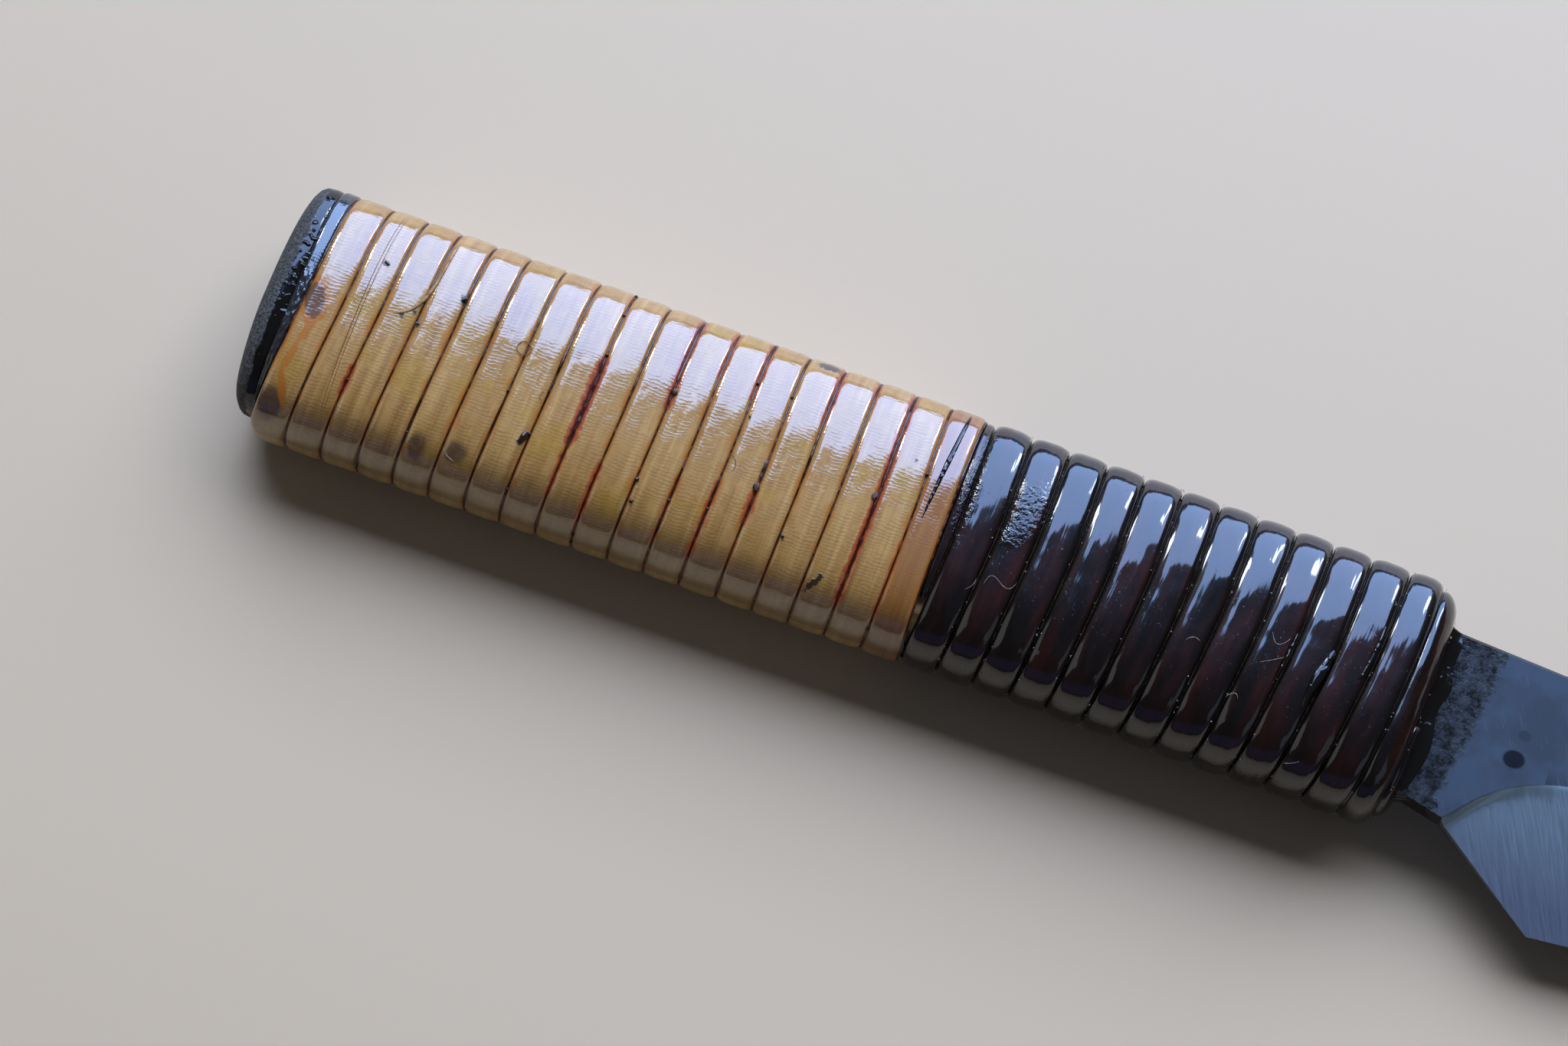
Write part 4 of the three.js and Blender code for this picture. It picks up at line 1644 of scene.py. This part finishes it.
@dataclass
class Blade:
    """The blade with its neck and tang. Lengths are in millimetres from the handle's neck end."""

    handle: HandleShape
    spine_at_neck: float = 9.1
    spine_fall: float = 0.0551
    neck_low: float = -9.6
    neck_corner: tuple[float, float] = (4.8, -10.7)
    heel: tuple[float, float] = (17.05, -18.9)
    edge_rise: float = 0.104
    belly_start: float = 60.0
    belly_reach: float = 24.0
    tip_land: float = 0.5
    plunge_bend: tuple[tuple[float, float], tuple[float, float]] = ((6.6, -9.2), (8.2, -4.9))
    plunge_end: tuple[float, float] = (16.1, -3.0)
    line_short: float = 7.0
    plunge_blend: float = 1.5
    tip_thickness: float = 0.5
    edge_land: float = 0.1
    honed_width: float = 1.1
    chamfer: float = 0.35
    tang_end_width: float = 10.0
    peg_hole: float = 1.7
    peg_hole_depth: float = 20.0
    least_chamfer: float = 0.004
    fine_gap: float = 0.02
    crisp_until: float = -2.0
    crisp_angle: float = math.radians(9)
    flat_points: int = 7
    bevel_points: int = 17
    station_counts: tuple[int, ...] = (24, 8, 60, 30, 30, 16)

    def __post_init__(self) -> None:
        """Reads the blade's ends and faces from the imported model."""
        low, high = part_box("blade_with_tang")
        self.length = (high.x - self.handle.neck_x) / MM
        self.tang_end = (low.x - self.handle.neck_x) / MM
        self.back = low.z / MM
        self.face = high.z / MM

    def spine(self, x: np.ndarray) -> np.ndarray:
        """Returns the spine's height across the handle at places along it."""
        tang = self.tang_side(x, self.spine_at_neck, self.tang_end_width / 2)
        return np.where(x < 0, tang, self.spine_at_neck - self.spine_fall * x)

    def tang_side(self, x: np.ndarray, at_neck: float, at_end: float) -> np.ndarray:
        """Returns one side of the tapered tang."""
        return at_neck + (at_end - at_neck) * np.clip(x / self.tang_end, 0, 1)

    def straight_edge(self, x: np.ndarray) -> np.ndarray:
        """Returns the line that the straight part of the edge lies on."""
        return self.heel[1] + self.edge_rise * (x - self.heel[0])

    def low_side(self, x: np.ndarray) -> np.ndarray:
        """Returns the outline's lower side: tang, neck, heel, edge and belly."""
        tang = self.tang_side(x, self.neck_low, -self.tang_end_width / 2)
        corner_x, corner_y = self.neck_corner
        heel_x, heel_y = self.heel
        share = np.linspace(0, 1, 200)
        turn_up = self.belly_start + self.belly_reach
        start_y, turn_y = self.straight_edge(self.belly_start), self.straight_edge(turn_up)
        tip_y = self.spine(np.array([self.length]))[0] - self.tip_land
        before, between, after = (1 - share) ** 2, 2 * share * (1 - share), share**2
        belly_x = before * self.belly_start + between * turn_up + after * self.length
        belly_y = before * start_y + between * turn_y + after * tip_y
        line_x = np.concatenate([[0, corner_x, heel_x], belly_x])
        line_y = np.concatenate([[self.neck_low, corner_y, heel_y], belly_y])
        return np.where(x < 0, tang, np.interp(x, line_x, line_y))

    def bevel_line(self, x: np.ndarray) -> np.ndarray:
        """Returns the line that the bevel falls from, with the plunge at the heel."""
        share = np.linspace(0, 1, 200)[:, None]
        corners = [np.array(self.neck_corner), *map(np.array, self.plunge_bend), np.array(self.plunge_end)]
        weights = [(1 - share) ** 3, 3 * share * (1 - share) ** 2, 3 * share**2 * (1 - share), share**3]
        curve = sum(weight * corner for weight, corner in zip(weights, corners))
        end = self.length - self.line_short
        line_x = np.concatenate([curve[:, 0], [end, self.length]])
        line_y = np.concatenate([curve[:, 1], self.spine(np.array([end, self.length]))])
        line = np.interp(x, line_x, line_y)
        return np.where(x < self.neck_corner[0], self.low_side(x), line)

    def ground_height(self, x: np.ndarray, y: np.ndarray) -> np.ndarray:
        """Returns the height of the bevelled face, with the wheel's hollow at the plunge."""
        end = self.length - self.line_short
        slope = (self.spine(np.array([end]))[0] - self.plunge_end[1]) / (end - self.plunge_end[0])
        upper = np.minimum(self.plunge_end[1] + slope * (x - self.plunge_end[0]), self.spine(x))
        lower = self.low_side(x)
        lower = np.where(x < self.heel[0], self.straight_edge(x), lower)
        thinned = np.clip((x - end) / self.line_short, 0, 1)
        top = self.face + (self.back + self.tip_thickness - self.face) * thinned
        fall = np.clip((upper - y) / np.maximum(upper - lower, 0.05), 0, 1)
        plane = top + (self.back + self.edge_land - top) * fall
        into = np.maximum(self.bevel_line(x) - y, 0)
        steep = np.clip(into / self.plunge_blend, 0, 1)
        hollow = 1 - (1 - steep) ** 2.2
        return top + (plane - top) * hollow

    def stations(self) -> np.ndarray:
        """Returns the places along the blade where its section is set."""
        ends = (
            self.tang_end, 0.0, self.neck_corner[0], self.heel[0], self.belly_start,
            self.length - self.line_short, self.length,
        )
        parts = [np.array([self.tang_end])]
        for start, end, count in zip(ends, ends[1:], self.station_counts):
            parts.append(np.linspace(start, end, count)[1:])
        return np.concatenate(parts)

    def section(self, x: float) -> np.ndarray:
        """Builds the closed outline of the blade at one place.

        Args:
            x: the place along the blade.

        Returns:
            The outline's points, as places across the blade and heights.
        """
        here = np.array([x])
        top, low = self.spine(here)[0], self.low_side(here)[0]
        spine_top = self.ground_height(here, np.array([top]))[0]
        line = max(min(self.bevel_line(here)[0], top - self.fine_gap), low + self.fine_gap)
        chamfer = self.chamfer if x > self.crisp_until else self.fine_gap
        chamfer = min(chamfer, (top - line) * 0.4, 0.35 * (spine_top - self.back))
        chamfer = max(chamfer, self.least_chamfer)
        honed = min(self.honed_width, (line - low) * 0.3)
        flat_points = self.flat_points
        flat = np.linspace(top - chamfer, line, flat_points)
        bevel = line + (low + honed - line) * np.linspace(0, 1, self.bevel_points)[1:] ** 1.5
        strop = np.linspace(low + honed, low, 3)[1:]
        across = np.concatenate([flat, bevel, strop])
        height = self.ground_height(np.full_like(across, x), across)
        height[:flat_points] = np.maximum(height[:flat_points], height[flat_points - 1])
        outline = [(top, spine_top - chamfer)]
        outline += list(zip(across, height))
        outline += [(low, self.back)]
        outline += [(low + (top - low) * share, self.back) for share in (0.25, 0.5, 0.75)]
        outline += [(top, self.back)]
        return np.array(outline)

    def make(self, material: bpy.types.Material) -> bpy.types.Object:
        """Builds the blade and paints where it is ground.

        Args:
            material: the steel.

        Returns:
            The blade.
        """
        places = self.stations()
        sections = np.array([self.section(x) for x in places])
        rows = np.zeros((*sections.shape[:2], 3))
        rows[:, :, 0] = self.handle.neck_x + places[:, None] * MM
        rows[:, :, 1] = self.handle.centre_y + sections[:, :, 0] * MM
        rows[:, :, 2] = sections[:, :, 1] * MM
        blade = ring_piece("blade", [rows], material)
        self.drill(blade)
        mesh = blade.data
        mesh.set_sharp_from_angle(angle=self.crisp_angle)
        points = points_of(mesh)
        x = (points[:, 0] - self.handle.neck_x) / MM
        y = (points[:, 1] - self.handle.centre_y) / MM
        below = self.face - points[:, 2] / MM
        inside = smooth_step(self.bevel_line(x) - y, 0.0, 0.12)
        on_top = points[:, 2] / MM > self.back + 0.05
        ground = np.where((x > self.neck_corner[0] - 0.1) & on_top & (below > 0.01), inside, 0)
        paint(mesh, "ground", ground)
        return blade

    def drill(self, blade: bpy.types.Object) -> None:
        """Drills the two peg holes through the tang."""
        for name in ("tang_peg_front", "tang_peg_rear"):
            low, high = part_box(name)
            work = bmesh.new()
            bmesh.ops.create_cone(
                work, cap_ends=True, segments=32, radius1=self.peg_hole * MM, radius2=self.peg_hole * MM,
                depth=self.peg_hole_depth * MM, matrix=Matrix.Translation((low + high) / 2),
            )
            cutter_mesh = bpy.data.meshes.new("peg_drill")
            work.to_mesh(cutter_mesh)
            work.free()
            cutter = add_object("peg_drill", cutter_mesh)
            modifier = blade.modifiers.new("hole", "BOOLEAN")
            modifier.operation = "DIFFERENCE"
            modifier.object = cutter
            modifier.solver = "EXACT"
            bpy.context.view_layer.update()
            graph = bpy.context.evaluated_depsgraph_get()
            cut = bpy.data.meshes.new_from_object(blade.evaluated_get(graph))
            blade.modifiers.remove(modifier)
            blade.data = cut
            bpy.data.objects.remove(cutter)


# ---------------------------------------------------------------------------------------------------
# Stage
# ---------------------------------------------------------------------------------------------------


@dataclass(frozen=True)
class View:
    """The camera that looks down on the knife."""

    target: tuple[float, float, float] = (-70.338, -3.936, 8.0)
    azimuth: float = math.radians(20.402)
    elevation: float = math.radians(72.0)
    distance: float = 0.4875
    lens: float = 105.5
    sensor_width: float = 36.0

    def place(self, handle: HandleShape) -> None:
        """Sets the camera up.

        Args:
            handle: the handle, whose neck end the target is measured from.
        """
        data = bpy.data.cameras.new("camera")
        data.lens = self.lens
        data.sensor_width = self.sensor_width
        data.clip_start = 0.01
        camera = add_object("camera", data)
        x, y, z = self.target
        target = Vector((handle.neck_x + x * MM, handle.centre_y + y * MM, z * MM))
        flat = math.cos(self.elevation)
        across, ahead = math.cos(self.azimuth), math.sin(self.azimuth)
        back = Vector((ahead * flat, -across * flat, math.sin(self.elevation)))
        right = Vector((across, ahead, 0))
        up = back.cross(right)
        turn = Matrix((right, up, back)).transposed().to_4x4()
        camera.matrix_world = Matrix.Translation(target + back * self.distance) @ turn
        bpy.context.scene.camera = camera


class Shines(Enum):
    """What a light is for: the matt side of things or their gloss."""

    ON_MATT = (True, False)
    IN_GLOSS = (False, True)


@dataclass(frozen=True)
class Lamp:
    """A soft studio light that faces a point on the handle."""

    name: str
    place: tuple[float, float, float]
    size: tuple[float, float]
    power: float
    colour: Colour
    shines: Shines = Shines.IN_GLOSS
    aim: tuple[float, float, float] = (-0.04, 0.0, 0.01)
    roll: float = 0.0

    def light(self) -> None:
        """Adds the light."""
        data = bpy.data.lights.new(self.name, "AREA")
        data.shape = "RECTANGLE"
        data.size, data.size_y = self.size
        data.energy = self.power
        data.color = self.colour
        lamp = add_object(self.name, data)
        lamp.location = self.place
        facing = (Vector(self.aim) - Vector(self.place)).to_track_quat("-Z", "Y")
        lamp.rotation_euler = (facing @ Quaternion((0.0, 0.0, 1.0), self.roll)).to_euler()
        lamp.visible_diffuse, lamp.visible_glossy = self.shines.value


@dataclass
class Stage:
    """The pale bench top, the soft lights and the dim room."""

    floor_size: float = 3.2
    floor_colour: Colour = (0.69, 0.64, 0.575)
    floor_roughness: float = 0.6
    room_colour: Colour = (0.9, 0.85, 0.8)
    room_glow: float = 0.062
    lamps: tuple[Lamp, ...] = (
        Lamp("day", (-0.05, 0.78, 0.80), (1.5, 1.0), 17.0, (1.0, 0.985, 0.96), Shines.ON_MATT),
        Lamp(
            "window", (-0.08, 0.79, 0.62), (1.15, 1.12), 31.0, (0.34, 0.53, 1.0),
            aim=(-0.08, 0.0, 0.01), roll=0.22,
        ),
        Lamp("bright_pane_right", (0.30, 0.78, 0.50), (0.1, 0.45), 2.8, (0.85, 0.92, 1.0)),
        Lamp("bright_pane_left", (-0.60, 0.50, 0.62), (0.14, 0.2), 2.6, (0.85, 0.92, 1.0)),
        Lamp("ceiling", (0.3, 0.2, 1.9), (2.6, 2.0), 0.75, (0.3, 0.52, 1.0)),
        Lamp("grey_wall", (-1.2, -0.35, 0.95), (1.0, 0.8), 1.5, (1.0, 1.0, 1.0)),
        Lamp("side_wall", (0.9, -0.6, 0.8), (0.8, 0.6), 0.55, (0.6, 0.8, 1.0)),
        Lamp("dusk", (0.0, -1.2, 0.4), (2.4, 0.5), 0.5, (0.22, 0.25, 1.0)),
    )

    def build(self) -> None:
        """Adds the floor, the lights and the room's dim glow."""
        half = self.floor_size / 2
        mesh = bpy.data.meshes.new("bench_top")
        corners = [(-half, -half, 0), (half, -half, 0), (half, half, 0), (-half, half, 0)]
        mesh.from_pydata(corners, [], [(0, 1, 2, 3)])
        floor = add_object("bench_top", mesh)
        pale = bpy.data.materials.new("bench_top")
        pale.use_nodes = True
        shader = pale.node_tree.nodes["Principled BSDF"]
        shader.inputs["Base Color"].default_value = (*self.floor_colour, 1)
        shader.inputs["Roughness"].default_value = self.floor_roughness
        mesh.materials.append(pale)
        for lamp in self.lamps:
            lamp.light()
        world = bpy.data.worlds.new("room")
        world.use_nodes = True
        glow = world.node_tree.nodes["Background"]
        glow.inputs["Color"].default_value = (*self.room_colour, 1)
        glow.inputs["Strength"].default_value = self.room_glow
        bpy.context.scene.world = world
        bpy.context.scene.view_settings.view_transform = "Standard"


# ---------------------------------------------------------------------------------------------------
# The knife
# ---------------------------------------------------------------------------------------------------


@dataclass
class Knife:
    """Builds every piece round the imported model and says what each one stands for."""

    handle: HandleShape = field(default_factory=HandleShape.from_frame)
    natural_width: float = 4.0
    black_width: float = 4.2
    wet_edge: float = 1.05 * MM
    neck_below: float = 9.75 * MM
    neck_above: float = 9.1 * MM

    def claim(self, piece: bpy.types.Object, slot: str, *nodes: str) -> None:
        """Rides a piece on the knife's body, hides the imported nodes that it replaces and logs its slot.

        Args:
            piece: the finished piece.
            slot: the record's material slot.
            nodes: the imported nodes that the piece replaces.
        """
        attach(piece, BODY)
        if nodes:
            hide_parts(*nodes)
        LOG.info("%s: %d faces, slot %s", piece.name, len(piece.data.polygons), slot)

    def build_natural_winding(self) -> None:
        """Builds the natural cane, the lacquer in its grooves and the drops on them."""
        low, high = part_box("natural_cane_winding")
        winding = NaturalWinding(
            handle=self.handle, name="natural_cane", start=low.x, end=high.x + 0.12 * MM, lead=2.3 * MM,
            pitch=3.993 * MM, turns=18, thickness=1.1 * MM, flatness=0.38, crowning=0.66,
            back_share_at_start=-0.25, back_share_at_end=1.15, first_turn=-0.46, last_turn=18.45,
            gap=0.035 * MM, seed=3.0,
        )
        strip = winding.make(NaturalCane(strip_width=self.natural_width).material())
        winding.dress(strip)
        self.claim(strip, "natural_cane", "natural_cane_winding")
        lacquer = GrooveLacquer().material()
        groove = winding.run_tree(winding.groove_tree(lacquer), "groove_lacquer")
        close_mesh(groove.data)
        self.claim(groove, "black_lacquer")
        drops = Specks(
            name="lacquer_beads", count=60, radius=0.17 * MM, sunk=0.24 * MM, spread=0.05 * MM, seed=7,
        )
        self.scatter(winding, drops, lacquer, "black_lacquer")

    def build_black_winding(self) -> None:
        """Builds the black cane, which runs on over the shoulder."""
        low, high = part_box("black_cane_winding")
        winding = BlackWinding(
            handle=self.handle, name="black_cane", start=low.x - 0.1 * MM, end=high.x + 30 * MM,
            lead=1.6 * MM, pitch=4.211 * MM, turns=14, thickness=1.4 * MM, flatness=0.75,
            crowning=0.8, back_share_at_start=0.53, back_share_at_end=-1.3, bow=0.4 * MM, bow_turn=0.763,
            first_turn=-0.35, last_turn=13.7, gap=0.03 * MM, wander=0.16 * MM, lumps=0.1 * MM, seed=9.0,
            shoulder_radius=4.2 * MM,
        )
        strip = winding.make(BlackCane(strip_width=self.black_width).material())
        winding.dress(strip)
        self.claim(strip, "black_cane", "black_cane_winding")
        dust = Specks(
            name="dust_specks", count=420, radius=0.065 * MM, sunk=0.24 * MM, spread=0.4 * MM, seed=21,
        )
        self.scatter(winding, dust, Dust(name="dust").material(), "black_lacquer")

    def scatter(self, winding: Winding, specks: Specks, material: bpy.types.Material, slot: str) -> None:
        """Builds the small drops along a winding's grooves."""
        piece = winding.run_tree(winding.speck_tree(material, specks), specks.name)
        close_mesh(piece.data)
        self.claim(piece, slot)

    def build_small_things(self) -> None:
        """Builds the drops, bubble rings, slivers, runs and lint on the lacquer."""
        lacquer = GrooveLacquer(name="lacquer_drops").material()
        clear = GrooveLacquer("clear_rims", black=(0.16, 0.09, 0.03), brown=(0.3, 0.18, 0.06)).material()
        cane = PlainWood("cane_sliver", pale=(0.5, 0.33, 0.14), dark=(0.2, 0.1, 0.03)).material()
        wet = BlackLacquer(matt_until=NEVER_MATT, drop_depth=0.1, name="wet_lacquer").material()
        kinds = (
            ("lacquer_drops", DROPS, lacquer, "black_lacquer"),
            ("bubble_rims", BUBBLE_RINGS, clear, "natural_cane"),
            ("cane_slivers", CANE_SLIVERS, cane, "natural_cane"),
            ("lacquer_runs", LACQUER_RUNS, wet, "black_lacquer"),
            ("lint", LINT, Dust().material(), "black_lacquer"),
        )
        for name, traces, material, slot in kinds:
            self.claim(SmallThings(name, traces).make(self.handle, material), slot)

    def build_ends(self) -> None:
        """Builds the butt cap, the shoulder and the lacquer on the neck."""
        _, cap_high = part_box("butt_cap")
        matt_until = (cap_high.x - self.wet_edge) / MM
        cap = ButtCap(self.handle).make(BlackLacquer(matt_until=matt_until).material())
        self.claim(cap, "black_lacquer", "butt_cap")
        wet = BlackLacquer(matt_until=NEVER_MATT, drop_depth=0.015, name="shoulder_lacquer").material()
        self.claim(Shoulder(self.handle).make(wet), "black_lacquer", "shoulder_seal")
        blade_low, blade_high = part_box("blade_with_tang")
        lap = NeckLap(
            handle=self.handle,
            low_y=self.handle.centre_y - self.neck_below,
            high_y=self.handle.centre_y + self.neck_above,
            back_z=blade_low.z,
            face_z=blade_high.z,
        )
        self.claim(lap.make(wet), "black_lacquer")

    def build_blade(self) -> None:
        """Builds the blade."""
        steel = BladeSteel(neck_x=self.handle.neck_x, centre_y=self.handle.centre_y).material()
        self.claim(Blade(self.handle).make(steel), "blade_steel", "blade_with_tang")

    def dress_hidden_parts(self) -> None:
        """Gives the core and the pegs, which stay as packed, their woods."""
        wood = PlainWood().material()
        bamboo = PlainWood(name="peg_bamboo", pale=(0.62, 0.48, 0.25), dark=(0.45, 0.31, 0.13)).material()
        finishes = {
            "core_front_half": wood,
            "core_back_half": wood,
            "tang_peg_front": bamboo,
            "tang_peg_rear": bamboo,
        }
        for name, finish in finishes.items():
            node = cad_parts[name]
            node.data.materials.clear()
            node.data.materials.append(finish)
            LOG.info("%s keeps its packed shape", name)

    def build(self) -> None:
        """Builds the whole knife in order."""
        self.build_blade()
        self.build_natural_winding()
        self.build_black_winding()
        self.build_ends()
        self.build_small_things()
        self.dress_hidden_parts()


def main() -> None:
    """Builds the stage and the knife."""
    logging.basicConfig(level=logging.INFO, format="%(name)s: %(message)s")
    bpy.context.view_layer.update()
    Stage().build()
    knife = Knife()
    View().place(knife.handle)
    knife.build()


if __name__ == "__main__":
    main()
